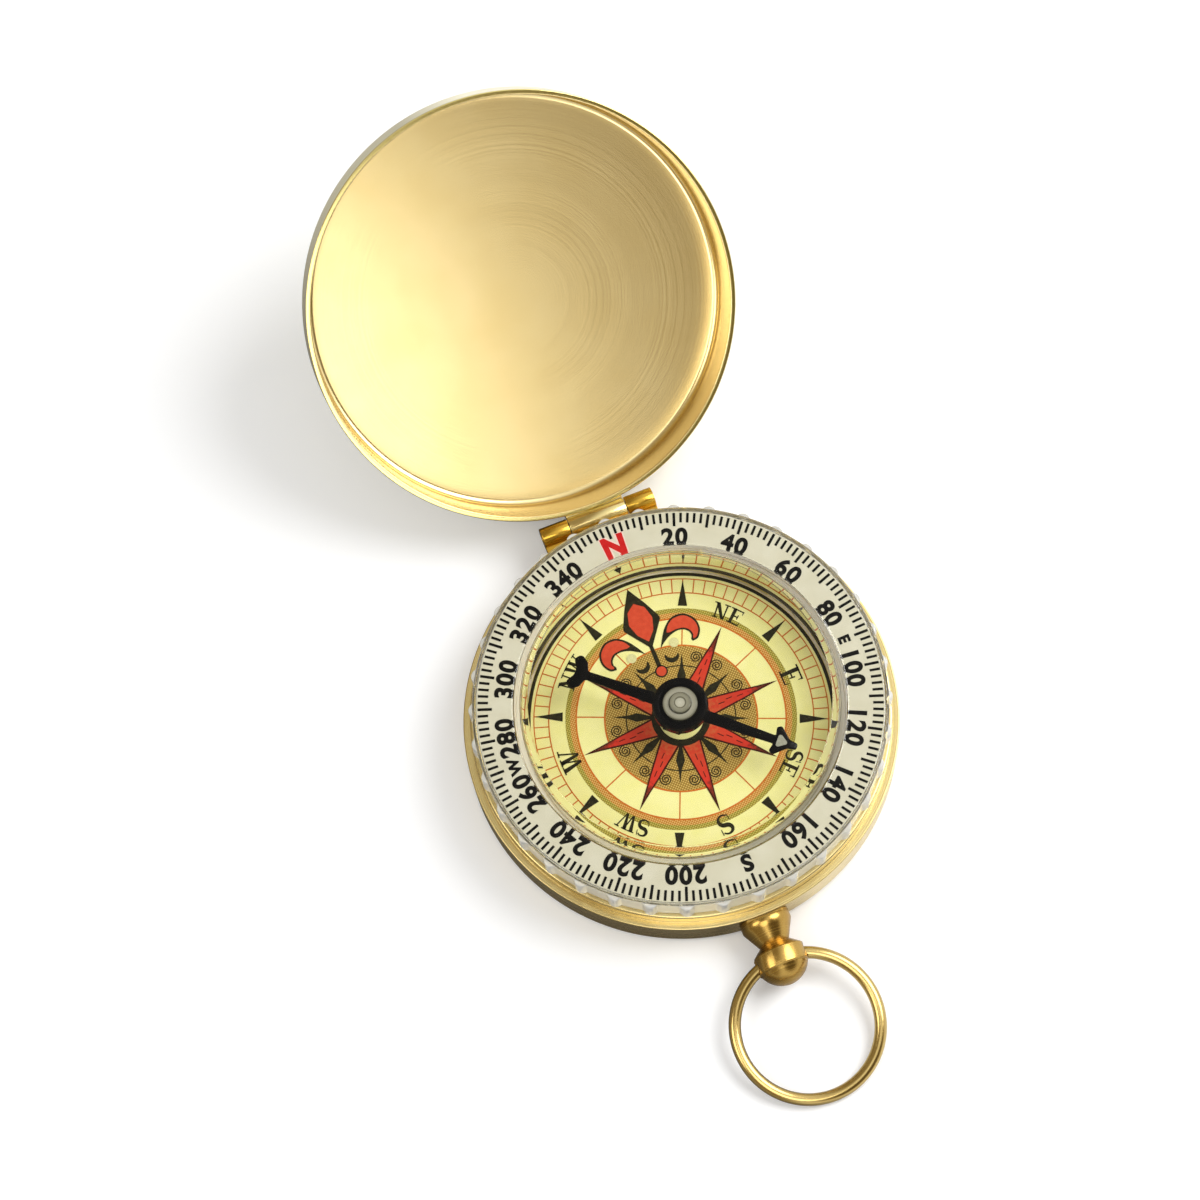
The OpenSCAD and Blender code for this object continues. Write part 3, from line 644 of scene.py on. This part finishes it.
def clear(name, colour, mirror=0.0):
    """Clear acrylic: glass-like, but lamps and bounced light pass it unbent, so it casts no dark
    shadow on what lies under it, and light caught between its faces leaves at the fifth bounce.
    Faint moulding ripples, 2 mm across, break its reflections; mirror is a share of full ones."""
    made, tree, where = new_material(name)
    ripple = add(tree, "ShaderNodeTexNoise", {
        "Vector": where, "Scale": 1000 / 2, "Detail": 1.0})
    skin = add(tree, "ShaderNodeBump", {
        "Height": ripple.outputs["Fac"], "Strength": 0.03, "Distance": 0.0001})
    body = add(tree, "ShaderNodeBsdfPrincipled", {
        "Base Color": linear(colour), "Transmission Weight": 1.0, "Roughness": 0.0,
        "IOR": 1.49, "Normal": skin.outputs[0]})
    # A wall that is seen from inside the plastic throws all of its light back.
    whole = add(tree, "ShaderNodeBsdfPrincipled", {
        "Base Color": linear("#FFFFF8"), "Metallic": 1.0, "Roughness": 0.03,
        "Normal": skin.outputs[0]})
    both = add(tree, "ShaderNodeMixShader", {
        "Fac": mirror, 1: body.outputs[0], 2: whole.outputs[0]})
    straight = add(tree, "ShaderNodeBsdfTransparent", {"Color": linear(colour)})
    path = add(tree, "ShaderNodeLightPath")
    caught = add(tree, "ShaderNodeMath", {
        0: path.outputs["Ray Depth"], 1: 4.0}, operation="GREATER_THAN")
    unbent = add(tree, "ShaderNodeMath", {
        0: path.outputs["Is Diffuse Ray"], 1: caught.outputs[0]}, operation="MAXIMUM")
    bounced = add(tree, "ShaderNodeMixShader", {
        "Fac": unbent.outputs[0], 1: both.outputs[0], 2: straight.outputs[0]})
    lamps = add(tree, "ShaderNodeMixShader", {
        "Fac": path.outputs["Is Shadow Ray"], 1: bounced.outputs[0], 2: straight.outputs[0]})
    add(tree, "ShaderNodeOutputMaterial", {"Surface": lamps.outputs[0]})
    return made


CUP_R, CUP_LOW, CUP_TOP, CUP_BORE_TOP = 2.0, 7.95, 10.05, 9.15
jewel = solid("cup_acrylic", turned(rounded([
    (0.03, 9.97, 0), (0.62, 9.97, 0.05), (0.7, CUP_TOP, 0.05), (1.24, CUP_TOP, 0.14),
    (1.24, 9.7, 0.06), (CUP_R, 9.7, 0.14), (CUP_R, CUP_LOW, 0.1), (0.5, CUP_LOW, 0.08),
    (0.5, CUP_BORE_TOP, 0.2), (0.03, CUP_BORE_TOP, 0),
], ends=True), 160))
cup_acrylic, tree, where = new_material("acrylic smoky cup")
# Painted shade and highlight: seen from above through the cup, its bore and steps show as darker
# rings at their radii and its middle as a pale spot, and these are painted into its colour here
# (radius in mm, colour).
flat = add(tree, "ShaderNodeVectorMath", {
    0: where, 1: (1000 / CUP_R, 1000 / CUP_R, 0.0)}, operation="MULTIPLY")
far = add(tree, "ShaderNodeVectorMath", {0: flat.outputs[0]}, operation="LENGTH")
rings = add(tree, "ShaderNodeValToRGB", {"Fac": far.outputs["Value"]}, stops=[
    (radius / CUP_R, colour) for radius, colour in (
        (0, "#E9E4CE"), (CUP_R, "#5E5944"), (0.5, "#D9D4BC"), (0.62, "#6F6A52"),
        (0.74, "#B4AF96"), (1.1, "#A09B82"), (1.26, "#4A4634"), (1.36, "#D0CBB4"),
        (1.75, "#B9B49C"))])
milky = add(tree, "ShaderNodeBsdfPrincipled", {
    "Base Color": rings.outputs[0], "Transmission Weight": 0.4, "Roughness": 0.07, "IOR": 1.49})
add(tree, "ShaderNodeOutputMaterial", {"Surface": milky.outputs[0]})
fit(jewel, "needle", "clear_acrylic", cup_acrylic, "needle_jewel")


# Crystal: one moulding of clear acrylic, a flat window with a sloping edge and a skirt that stands
# on the capsule base. Its flange keeps the turning ring down.

WINDOW_R, WINDOW_LOW, WINDOW_TOP = 17.2, 10.6, 12.0
SKIRT_R, SKIRT_BORE_R = 18.8, 17.9
FLANGE_R, FLANGE_LOW, FLANGE_TOP = 19.8, 7.8, 8.4
PLATE_TOP = 10.8  # top of the turning ring, where the sloping edge starts

crystal = solid("crystal_moulded", turned(rounded([
    (AXIS_R, WINDOW_TOP, 0), (WINDOW_R, WINDOW_TOP, 0.25), (SKIRT_R, PLATE_TOP, 0.15),
    (SKIRT_R, FLANGE_TOP, 0.06), (FLANGE_R, FLANGE_TOP, 0.08), (FLANGE_R, FLANGE_LOW, 0.08),
    (SKIRT_R, FLANGE_LOW, 0.06), (SKIRT_R, CARD_LOW, 0.05), (SKIRT_BORE_R, CARD_LOW, 0.05),
    (SKIRT_BORE_R, WINDOW_LOW, 0.35), (AXIS_R, WINDOW_LOW, 0)], ends=True)))
fit(crystal, "case", "crystal", clear("acrylic moulded clear", "#FEFEFD"), "capsule_crystal")


def face_middles(piece):
    """Distance from the dial's axis and height of the middle of each face, in mm."""
    middle = np.empty(len(piece.data.polygons) * 3)
    piece.data.polygons.foreach_get("center", middle)
    x, y, z = middle.reshape(-1, 3).T * 1000
    return np.hypot(x, y), z


# The inner wall of the skirt throws back a second image of the card's tick ring.
crystal.data.materials.append(clear("acrylic moulded skirt", "#FEFEFD", mirror=0.85))
r, z = face_middles(crystal)
skirt = (np.abs(r - SKIRT_BORE_R) < 0.05) & (z > CARD_LOW + 0.08) & (z < WINDOW_LOW - 0.3)
crystal.data.polygons.foreach_set("material_index", skirt.astype(np.int32))


# Turning ring: moulded clear plastic, thin on top with 36 grip lugs round its wall. It turns on
# the crystal's skirt and is held by a ring welded in below.

LUG_R, RING_R, LUG_ROUND, LUGS = 24.0, 23.55, 0.85, 36
RING_LOW, PLATE_LOW = 7.1, 10.2
LUG_FADE = 0.25  # a lug's top is rounded over this height above the plate's underside
RING_BORE_R, RING_WALL_R = 18.9, 23.15  # the hole for the crystal, and the wall's inner face

ring_acrylic = clear("acrylic moulded ring", "#FBFBF9")


def lugged(profile, segments=LUGS * 24):
    """A turned profile whose outer wall swells into round lugs.

    Within a lug the wall reaches c cos d + sqrt(p ** 2 - (c sin d) ** 2), a circle of radius p
    centred c from the axis, with d the angle from the lug's middle. A soft maximum,
    0.04 log(1 + exp(swelling / 0.04)), rounds the corner between lug and wall. At a height of h
    above the plate's underside the swelling shrinks by sqrt(1 - (h / fade) ** 2).
    """
    r, z = np.asarray(profile, float).T[:, :, None]
    t = np.arange(segments) * 2 * np.pi / segments
    pitch = 2 * np.pi / LUGS
    d = (t + pitch / 2) % pitch - pitch / 2
    c = LUG_R - LUG_ROUND
    circle = c * np.cos(d) + np.sqrt(np.clip(LUG_ROUND ** 2 - (c * np.sin(d)) ** 2, 0, None))
    swell = np.log1p(np.exp((circle - RING_R) / 0.04)) * 0.04
    swell = np.minimum(swell, LUG_R - RING_R)
    fade = np.sqrt(np.clip(1 - ((z - PLATE_LOW) / LUG_FADE).clip(0) ** 2, 0, 1))
    r = r + np.where(r > RING_R - 0.12, swell * fade, 0)
    return np.stack([r * np.cos(t), r * np.sin(t), z + 0 * t], -1)


# Stations on the wall where the lugs fade out, closer together towards their top.
climb = np.sin(np.radians([0, 20, 40, 55, 66, 75, 84, 90]))
wall = np.stack([np.full(len(climb), RING_R), PLATE_LOW + LUG_FADE * climb], -1)
ring_profile = np.concatenate([
    rounded([(23.4, RING_LOW, 0), (RING_R, RING_LOW, 0.08), (RING_R, 8.5, 0)], ends=True),
    wall,
    rounded([(RING_R, 10.46, 0), (RING_R, 10.55, 0.05), (23.28, PLATE_TOP, 0.12),
             (19.05, PLATE_TOP, 0.08), (RING_BORE_R, 10.6, 0.06), (RING_BORE_R, PLATE_LOW, 0.04),
             (RING_WALL_R, PLATE_LOW, 0.1), (RING_WALL_R, RING_LOW, 0.06),
             (23.4, RING_LOW, 0)], ends=True)])
ring = solid("ring_moulded", lugged(ring_profile))
fit(ring, "bezel", "clear_acrylic", ring_acrylic, "bezel_ring")
dress(ring_acrylic, "bezel_retainer")

# Its wall and its lugs are left slightly milky by the mould, unlike the polished top.
wall_acrylic, tree, where = new_material("acrylic moulded milky")
haze = add(tree, "ShaderNodeTexNoise", {
    "Vector": where, "Scale": 1000 / 1.5, "Detail": 3.0})
dull = add(tree, "ShaderNodeMapRange", {
    "Value": haze.outputs["Fac"], "To Min": 0.08, "To Max": 0.3})
body = add(tree, "ShaderNodeBsdfPrincipled", {
    "Base Color": linear("#F6F6F2"), "Transmission Weight": 0.52, "Roughness": dull.outputs[0],
    "IOR": 1.49})
add(tree, "ShaderNodeOutputMaterial", {"Surface": body.outputs[0]})
ring.data.materials.append(wall_acrylic)
r, z = face_middles(ring)
outside = (r > RING_R - 0.1) & (z < PLATE_TOP - 0.2)
ring.data.polygons.foreach_set("material_index", outside.astype(np.int32))


# Scale ring: a cream polystyrene ring under the clear top, with a skirt behind the clear wall.
# Its ticks and figures are pad printed in black, and the north letter in red.

SCALE_R, SCALE_BORE_R, SCALE_SKIRT_R = 23.08, 18.92, 22.88
SCALE_LOW, SCALE_UNDER, SCALE_TOP = 7.72, 10.0, 10.15

# Polystyrene has a faint satin gloss and clouds a few millimetres wide from the melt's flow.
cream = printed("polystyrene moulded cream", ("#D3CDB4", "#DDD8C3"), mottle=0.5, pitch=2.5,
                rough=0.45)
scale = solid("scale_cream", turned(rounded([
    (SCALE_BORE_R, SCALE_UNDER, 0.03), (SCALE_SKIRT_R, SCALE_UNDER, 0.03),
    (SCALE_SKIRT_R, SCALE_LOW, 0.04), (SCALE_R, SCALE_LOW, 0.04), (SCALE_R, SCALE_TOP, 0.05),
    (SCALE_BORE_R, SCALE_TOP, 0.04)])))
fit(scale, "bezel", "scale_print", cream, "bezel_scale")

# Pad printing lays down a dense, even film of ink.
black_ink = printed("pad printing ink black", ("#080706", "#15130F"))
short_bearings = np.arange(180) * 2.0
long_bearings = short_bearings[::5]
short_bearings = np.delete(short_bearings, np.s_[::5])
ink_low, glow_high, ink_high = SCALE_TOP + 0.002, SCALE_TOP + 0.008, SCALE_TOP + 0.016
SHORT_TICK, LONG_TICK, TICKS_HIGH_R = 1.2, 1.65, 22.95
short_ticks = polar(upright * SHORT_TICK + [0, TICKS_HIGH_R - SHORT_TICK], short_bearings)
long_ticks = polar(upright * LONG_TICK + [0, TICKS_HIGH_R - LONG_TICK], long_bearings)
fit(solid("scale_ticks", stroke(short_ticks, 0.3, ink_low, ink_high),
          stroke(long_ticks, 0.32, ink_low, ink_high)), "bezel", "scale_print", black_ink)


def figures(name, words, cap, radius, weight, low, high):
    """Figures of the built-in typeface, made a mesh, bent round the ring and joined in one piece.

    words gives (text, bearing); a glyph's cap is 0.73 of its size, and weight thickens its lines.
    """
    points, faces, start = [], [], 0
    for text, bearing in words:
        curve = bpy.data.curves.new(name, "FONT")
        curve.body = text
        curve.size = cap / 0.73
        curve.offset = weight
        curve.extrude = (high - low) / 2
        curve.resolution_u = 6
        curve.space_character = 1.14
        curve.align_x = "CENTER"
        drawn = bpy.data.objects.new(name, curve)
        mesh = bpy.data.meshes.new_from_object(drawn)
        flat = np.empty(len(mesh.vertices) * 3)
        mesh.vertices.foreach_get("co", flat)
        flat = flat.reshape(-1, 3)
        bent = polar(flat[:, :2] - [0, cap / 2], bearing, radius)
        points.append(np.concatenate([bent.reshape(-1, 2), flat[:, 2:] + (low + high) / 2], -1))
        faces += [[start + v for v in face.vertices] for face in mesh.polygons]
        start += len(flat)
        bpy.data.objects.remove(drawn)
        bpy.data.curves.remove(curve)
        bpy.data.meshes.remove(mesh)
    joined = bpy.data.meshes.new(name)
    joined.from_pydata(np.concatenate(points) / 1000, [], faces)
    made = bpy.data.objects.new(name, joined)
    bpy.context.scene.collection.objects.link(made)
    return made


# Each row is a name, its words, their cap height, the radius of their middle, their weight, the
# top of their ink and its finish. A pale rim lies round the red north letter.
numbers = [(str(n), n) for n in range(20, 360, 20) if n != 180]
pale_ink = printed("pad printing ink pale pink", ("#F0CFC4", "#F4DACE"))
red_ink = printed("pad printing ink signal red", ("#C61C1E", "#D02826"))
for name, words, cap, radius, weight, high, ink in (
        ("scale_figures", numbers, 2.03, 20.1, 0.115, ink_high, black_ink),
        ("scale_letters", [("E", 90), ("W", 270)], 1.3, 20.1, 0.085, ink_high, black_ink),
        ("scale_south", [("S", 180)], 1.9, 20.1, 0.12, ink_high, black_ink),
        ("scale_north_glow", [("N", 0)], 2.5, 20.4, 0.36, glow_high, pale_ink),
        ("scale_north", [("N", 0)], 2.6, 20.4, 0.18, ink_high, red_ink)):
    fit(figures(name, words, cap, radius, weight, ink_low, high), "bezel", "scale_print", ink)


# Lid: drawn from sheet brass into a cap with a straight skirt and a slightly domed face, polished
# outside and spun to a satin inside. At rest it stands open, leaning back on the hinge.

LID_OPEN = 145.825
HINGE_Y, HINGE_Z = 26.25, 5.2
LID_R, LID_BORE_R = 25.0, 24.4
LID_TOP, LID_INSIDE_TOP, LID_RISE = 13.4, 12.8, 0.4
LID_LOW, RIM_ROUND = 5.3, 0.12  # both edges of the rim are broken by this radius
LID_SEGMENTS = 320


def about_x(points, degrees, y=0.0, z=0.0):
    """Turns points about the line along X through (y, z)."""
    a = np.radians(degrees)
    dy, dz = points[..., 1] - y, points[..., 2] - z
    return np.stack([points[..., 0], y + dy * np.cos(a) - dz * np.sin(a),
                     z + dy * np.sin(a) + dz * np.cos(a)], -1)


def dome(r, top, rise, edge):
    """Half outline from the middle to the wall: a crown of radius (r^2 + rise^2) / (2 rise) that
    runs into an edge of radius edge, tangent to the crown and to the wall at r."""
    crown = (r * r + rise * rise) / (2 * rise)
    edge_z = top - crown + np.sqrt((crown - edge) ** 2 - (r - edge) ** 2)
    meet = np.arctan2(r - edge, edge_z - (top - crown))
    a = np.linspace(0.0001, meet, 40, endpoint=False)
    b = np.linspace(meet, np.pi / 2, 22)
    face = np.stack([crown * np.sin(a), top - crown + crown * np.cos(a)], -1)
    turn = np.stack([r - edge + edge * np.sin(b), edge_z + edge * np.cos(b)], -1)
    return np.concatenate([face, turn])


outer = dome(LID_R, LID_TOP, LID_RISE, 2.2)
inner = dome(LID_BORE_R, LID_INSIDE_TOP, LID_RISE, 0.8)
q = np.radians(np.linspace(0, 90, 6))
outer_rim = np.stack([LID_R - RIM_ROUND * (1 - np.cos(q)),
                      LID_LOW + RIM_ROUND - RIM_ROUND * np.sin(q)], -1)
inner_rim = np.stack([LID_BORE_R + RIM_ROUND * (1 - np.sin(q)),
                      LID_LOW + RIM_ROUND - RIM_ROUND * np.cos(q)], -1)
# Guard points on both walls keep them flat in shading.
wall_guard = np.array([[LID_R, 9.0], [LID_R, 5.6]])
inner_guard = np.array([[LID_BORE_R, 5.6], [LID_BORE_R, 9.0]])
lid_profile = np.concatenate([outer, wall_guard, outer_rim, inner_rim, inner_guard, inner[::-1]])
lid = solid("lid_drawn", about_x(turned(lid_profile, LID_SEGMENTS), -LID_OPEN, HINGE_Y, HINGE_Z))

# The axis of the lid's own turning marks at rest, tilted with it.
lid_axis = about_x(np.array([0.0, 0.0, 0.0]), -LID_OPEN, HINGE_Y, HINGE_Z)
# Spun satin gives the inside broad, soft highlights. The outside is buffed: tight ones, with only
# a trace of the spinning.
lid_inside = lathe_brass("brass spun satin inside", "#EAD6A0", "#E0C88A", rough=0.24, pitch=0.16,
                         centre=lid_axis, tilt=-LID_OPEN, depth=0.025, streak=0.12)
lid_outside = lathe_brass("brass polished outside", "#E4D694", "#DBCB84", rough=0.17, pitch=0.1,
                          centre=lid_axis, tilt=-LID_OPEN, depth=0.02, streak=0.15)
fit(lid, "lid", "case_brass", lid_outside, "lid_shell")
lid.data.materials.append(lid_inside)
# The inside starts after the outer wall and its rim; the last two faces close the axis on the
# outside and on the inside.
inside_rows = np.arange(len(lid_profile) - 1) >= len(outer) + len(wall_guard) + len(outer_rim)
rows = np.concatenate([np.repeat(inside_rows, LID_SEGMENTS).astype(np.int32), [0, 1]])
lid.data.polygons.foreach_set("material_index", rows)


# Hinge: rolled brass strip. Two outer knuckles with their leaves are soldered to the case and the
# wide middle one to the lid, on a steel pin.

# Rolled strip is bright and hardly marked. The knuckles on the case are a deeper gold, and the one
# on the lid is as pale as the lid.
hinge_brass = lathe_brass("brass rolled strip", "#D9B24C", "#C09432", rough=0.2, pitch=0.14,
                          centre=(0, HINGE_Y, HINGE_Z), depth=0.1)
tongue_brass = lathe_brass("brass rolled strip pale", "#E8D69A", "#D8C07C", rough=0.2, pitch=0.14,
                           centre=(0, HINGE_Y, HINGE_Z), depth=0.1)


def soften(width, *nodes):
    """Breaks the sharp edges of CAD nodes, whose triangles are first joined by their corners."""
    for node in nodes:
        weld = cad[node].modifiers.new("join corners", "WELD")
        weld.merge_threshold = 0.000002
        edge = cad[node].modifiers.new("break edges", "BEVEL")
        edge.width = width / 1000
        edge.segments = 2
        edge.limit_method = "ANGLE"
        edge.angle_limit = np.radians(40)
        edge.harden_normals = True


dress(hinge_brass, "hinge_knuckle_left", "hinge_knuckle_right")
dress(tongue_brass, "lid_hinge_tongue")
dress(steel, "hinge_pin")
soften(0.08, "hinge_knuckle_left", "hinge_knuckle_right", "lid_hinge_tongue")


# Pendant: a turned collar and ball of brass on a stud through the case wall, the ball cross-drilled
# for the bow.

PENDANT_Z = 3.2

# Darker, browner brass than the case's, with fine rings from the tool round its own axis.
pendant_brass = lathe_brass("brass turned pendant", "#C6A55C", "#A07C3A", rough=0.24, pitch=0.2,
                            centre=(0, 0, PENDANT_Z), tilt=90.0, depth=0.2)
dress(pendant_brass, "pendant_collar", "pendant_ball")
soften(0.08, "pendant_collar", "pendant_ball")


# Bow: a ring bent from drawn brass wire, its ends butted inside the ball, in which it swings. At
# rest it lies on the table.

BOW_Y, BOW_Z, BOW_DROOP = -30.1, PENDANT_Z, 8.8004
BOW_R, BOW_OFFSET, WIRE_R = 8.15, 7.864, 0.7

# The wire is a torus: reach (cos t, sin t) and height w sin a, with reach R + w cos a, for the
# bow's radius R and the wire's radius w.
t = np.linspace(0, 2 * np.pi, 241)[:, None]
a = np.linspace(0, 2 * np.pi, 33)[:-1]
reach = BOW_R + WIRE_R * np.cos(a)
wire = np.stack([reach * np.cos(t), reach * np.sin(t) - BOW_OFFSET,
                 WIRE_R * np.sin(a) + 0 * t], -1)
bow = solid("bow_wire", about_x(wire, BOW_DROOP) + [0, BOW_Y, BOW_Z])
bow_middle = about_x(np.array([0.0, -BOW_OFFSET, 0.0]), BOW_DROOP) + [0, BOW_Y, BOW_Z]
# The drawing die leaves fine lines along the wire, which follow it round the bow.
bow_brass = lathe_brass("brass wire drawn", "#CDB374", "#B2985A", rough=0.2, pitch=0.1,
                        centre=bow_middle, tilt=BOW_DROOP, depth=0.2)
fit(bow, "bow", "turned_brass", bow_brass, "bow_ring")


# Studio: a pale floor under soft lamps. Behind the camera and for reflections the surroundings are
# white, darker on one side so that the polished brass has something to shade it.

# Matt paper takes the object's shadow softly and mirrors nothing.
floor_paint, tree, where = new_material("paper backdrop white")
tooth = add(tree, "ShaderNodeTexNoise", {
    "Vector": where, "Scale": 1000 / 30, "Detail": 2.0})
tone = add(tree, "ShaderNodeValToRGB", {"Fac": tooth.outputs["Fac"]},
           stops=[(0, "#FAFAFA"), (1, "#FCFCFC")])
path = add(tree, "ShaderNodeLightPath")
far = add(tree, "ShaderNodeVectorMath", {0: where}, operation="LENGTH")
# Polished sides mirror the paper beside the object darkened by painted shade on its left, which
# only reflections see and which gives them their depth, and as bright paper on its right.
beside = add(tree, "ShaderNodeMapRange", {
    "Value": far.outputs["Value"], "From Min": 0.03, "From Max": 0.2,
    "To Min": 0.85, "To Max": 0.0})
sides = add(tree, "ShaderNodeSeparateXYZ", {"Vector": where})
leftward = add(tree, "ShaderNodeMapRange", {
    "Value": sides.outputs["X"], "From Min": -0.005, "From Max": 0.007,
    "To Min": 1.0, "To Max": 0.0})
painted_shade_share = add(tree, "ShaderNodeMath", {
    0: beside.outputs[0], 1: leftward.outputs[0]}, operation="MULTIPLY")
painted_shade_in_mirrors = add(tree, "ShaderNodeMath", {
    0: path.outputs["Is Glossy Ray"], 1: painted_shade_share.outputs[0]}, operation="MULTIPLY")
ground = add(tree, "ShaderNodeMix", {
    0: painted_shade_in_mirrors.outputs[0], 6: tone.outputs[0], 7: linear("#3A3020")}, data_type="RGBA")
# What the camera sees of the paper fades to full white away from the object.
faded = add(tree, "ShaderNodeMapRange", {
    "Value": far.outputs["Value"], "From Min": 0.1, "From Max": 0.7, "To Min": 0.1, "To Max": 0.6})
lift = add(tree, "ShaderNodeMath", {
    0: path.outputs["Is Camera Ray"], 1: faded.outputs[0]}, operation="MULTIPLY")
paper = add(tree, "ShaderNodeBsdfPrincipled", {
    "Base Color": ground.outputs[2], "Roughness": 0.9, "Specular IOR Level": 0.2,
    "Emission Color": linear("#FFFFFF"), "Emission Strength": lift.outputs[0]})
add(tree, "ShaderNodeOutputMaterial", {"Surface": paper.outputs[0]})
FLOOR_HALF = 1500.0
corners = np.array([[-1, -1], [1, -1], [1, 1], [-1, 1]]) * FLOOR_HALF
floor = solid("floor", np.stack([
    np.column_stack([corners, np.full(4, -1.0)]), np.column_stack([corners, np.zeros(4)])]))
floor.data.materials.append(floor_paint)

# The camera's axes at the photograph's viewing angle, found from the marks of the scale.
right = np.array([0.9306, -0.3634, -0.0445])
back = np.array([-0.0804, -0.3214, 0.9435])
back /= np.linalg.norm(back)
right -= back * (right @ back)
right /= np.linalg.norm(right)
up = np.cross(back, right)

world = bpy.data.worlds.new("studio")
bpy.context.scene.world = world
world.use_nodes = True
tree = world.node_tree
tree.nodes.clear()
where = add(tree, "ShaderNodeTexCoord")
# The mirrored room is dim on the left and bright on the right.
across = add(tree, "ShaderNodeVectorMath", {
    0: where.outputs["Generated"], 1: right.tolist()}, operation="DOT_PRODUCT")
sideways = add(tree, "ShaderNodeMapRange", {
    "Value": across.outputs["Value"], "From Min": -0.32, "From Max": 0.12,
    "To Min": 0.38, "To Max": 1.15}, interpolation_type="SMOOTHSTEP")
# A dark flag hangs in one direction, and a polished face that mirrors it shades off.
flag = np.array([0.42, -0.68, 0.6])
toward = add(tree, "ShaderNodeVectorMath", {
    0: where.outputs["Generated"], 1: flag.tolist()}, operation="DOT_PRODUCT")
shaded = add(tree, "ShaderNodeMapRange", {
    "Value": toward.outputs["Value"], "From Min": 0.8, "From Max": 0.96,
    "To Min": 1.0, "To Max": 0.15}, interpolation_type="SMOOTHSTEP")
mirrored_room = add(tree, "ShaderNodeMath", {
    0: sideways.outputs[0], 1: shaded.outputs[0]}, operation="MULTIPLY")
path = add(tree, "ShaderNodeLightPath")
# Through the clear plastic the white backdrop shows only low down. What leaves the plastic upwards
# was mirrored by its underside, and belongs to the reflections.
height = add(tree, "ShaderNodeSeparateXYZ", {"Vector": where.outputs["Generated"]})
low = add(tree, "ShaderNodeMath", {0: height.outputs["Z"], 1: 0.3}, operation="LESS_THAN")
through = add(tree, "ShaderNodeMath", {
    0: path.outputs["Is Transmission Ray"], 1: low.outputs[0]}, operation="MULTIPLY")
seen = add(tree, "ShaderNodeMath", {
    0: path.outputs["Is Camera Ray"], 1: through.outputs[0]}, operation="MAXIMUM")
bright = add(tree, "ShaderNodeMath", {
    0: path.outputs["Is Glossy Ray"], 1: path.outputs["Is Transmission Ray"]}, operation="MAXIMUM")
# Only the clear plastic is smooth enough to mirror without any blur. A polarising filter takes most
# of what it mirrors from overhead away, so the black print under it stays black.
overhead = add(tree, "ShaderNodeMapRange", {
    "Value": height.outputs["Z"], "From Min": 0.35, "From Max": 0.75,
    "To Min": 0.0, "To Max": -0.9})
polarised = add(tree, "ShaderNodeMath", {
    0: path.outputs["Is Singular Ray"], 1: overhead.outputs[0], 2: 1.0},
    operation="MULTIPLY_ADD")
filtered = add(tree, "ShaderNodeMath", {
    0: mirrored_room.outputs[0], 1: polarised.outputs[0]}, operation="MULTIPLY")
room = add(tree, "ShaderNodeBackground", {"Color": (1, 1, 1, 1), "Strength": 0.52})
# The darker it is, the warmer: the dark side of the room is brown card.
warmth = add(tree, "ShaderNodeValToRGB", {"Fac": mirrored_room.outputs[0]})
warmth.color_ramp.elements[0].position = 0.25
warmth.color_ramp.elements[0].color = (1.0, 0.78, 0.4, 1.0)
warmth.color_ramp.elements[1].position = 0.85
warmth.color_ramp.elements[1].color = (1.0, 1.0, 1.0, 1.0)
mirror = add(tree, "ShaderNodeBackground", {
    "Color": warmth.outputs[0], "Strength": filtered.outputs[0]})
white = add(tree, "ShaderNodeBackground", {"Color": (1, 1, 1, 1), "Strength": 1.0})
lit = add(tree, "ShaderNodeMixShader", {
    "Fac": bright.outputs[0], 1: room.outputs[0], 2: mirror.outputs[0]})
both = add(tree, "ShaderNodeMixShader", {
    "Fac": seen.outputs[0], 1: lit.outputs[0], 2: white.outputs[0]})
add(tree, "ShaderNodeOutputWorld", {"Surface": both.outputs[0]})


def softbox(name, direction, distance, size, power, only_mirrored=False):
    """A round lamp that looks at the middle of the object from a direction, with its distance and
    size in mm and its power in watts. One that is only mirrored shows in polished pieces, but
    lights nothing else."""
    lamp = bpy.data.lights.new(name, "AREA")
    lamp.shape = "DISK"
    lamp.size = size / 1000
    lamp.energy = power
    made = bpy.data.objects.new(name, lamp)
    z = direction / np.linalg.norm(direction)
    x = np.cross([0, 0, 1.0], z)
    x /= np.linalg.norm(x)
    matrix = np.eye(4)
    matrix[:3, :3] = np.column_stack([x, np.cross(z, x), z])
    matrix[:3, 3] = z * distance / 1000
    made.matrix_world = matrix.T
    if only_mirrored:
        made.visible_diffuse = made.visible_transmission = made.visible_camera = False
    bpy.context.scene.collection.objects.link(made)


softbox("key_lamp", 0.8 * right + 0.7 * up + 0.9 * back, distance=450, size=340, power=1.65)
# This small lamp hangs where the open lid mirrors it, so that the lid's left half shines.
softbox("lid_lamp", np.array([-0.215, -0.52, 0.83]), distance=190, size=110, power=0.075,
        only_mirrored=True)
softbox("fill_lamp", -0.9 * right - 0.1 * up + 0.9 * back, distance=500, size=300, power=0.7)

lens = bpy.data.cameras.new("camera")
lens.sensor_width = 36.0
lens.lens = 89.7
lens.clip_start = 0.01
camera = bpy.data.objects.new("camera", lens)
# Both are in mm: the point it looks at, and how far it stands from there.
aim = -9.5 * right + 15.0 * up + 7.5 * back
CAMERA_FAR = 340.0
stand = np.eye(4)
stand[:3, :3] = np.column_stack([right, up, back])
stand[:3, 3] = (aim + CAMERA_FAR * back) / 1000
camera.matrix_world = stand.T
bpy.context.scene.collection.objects.link(camera)
bpy.context.scene.camera = camera
bpy.context.scene.view_settings.view_transform = "Standard"
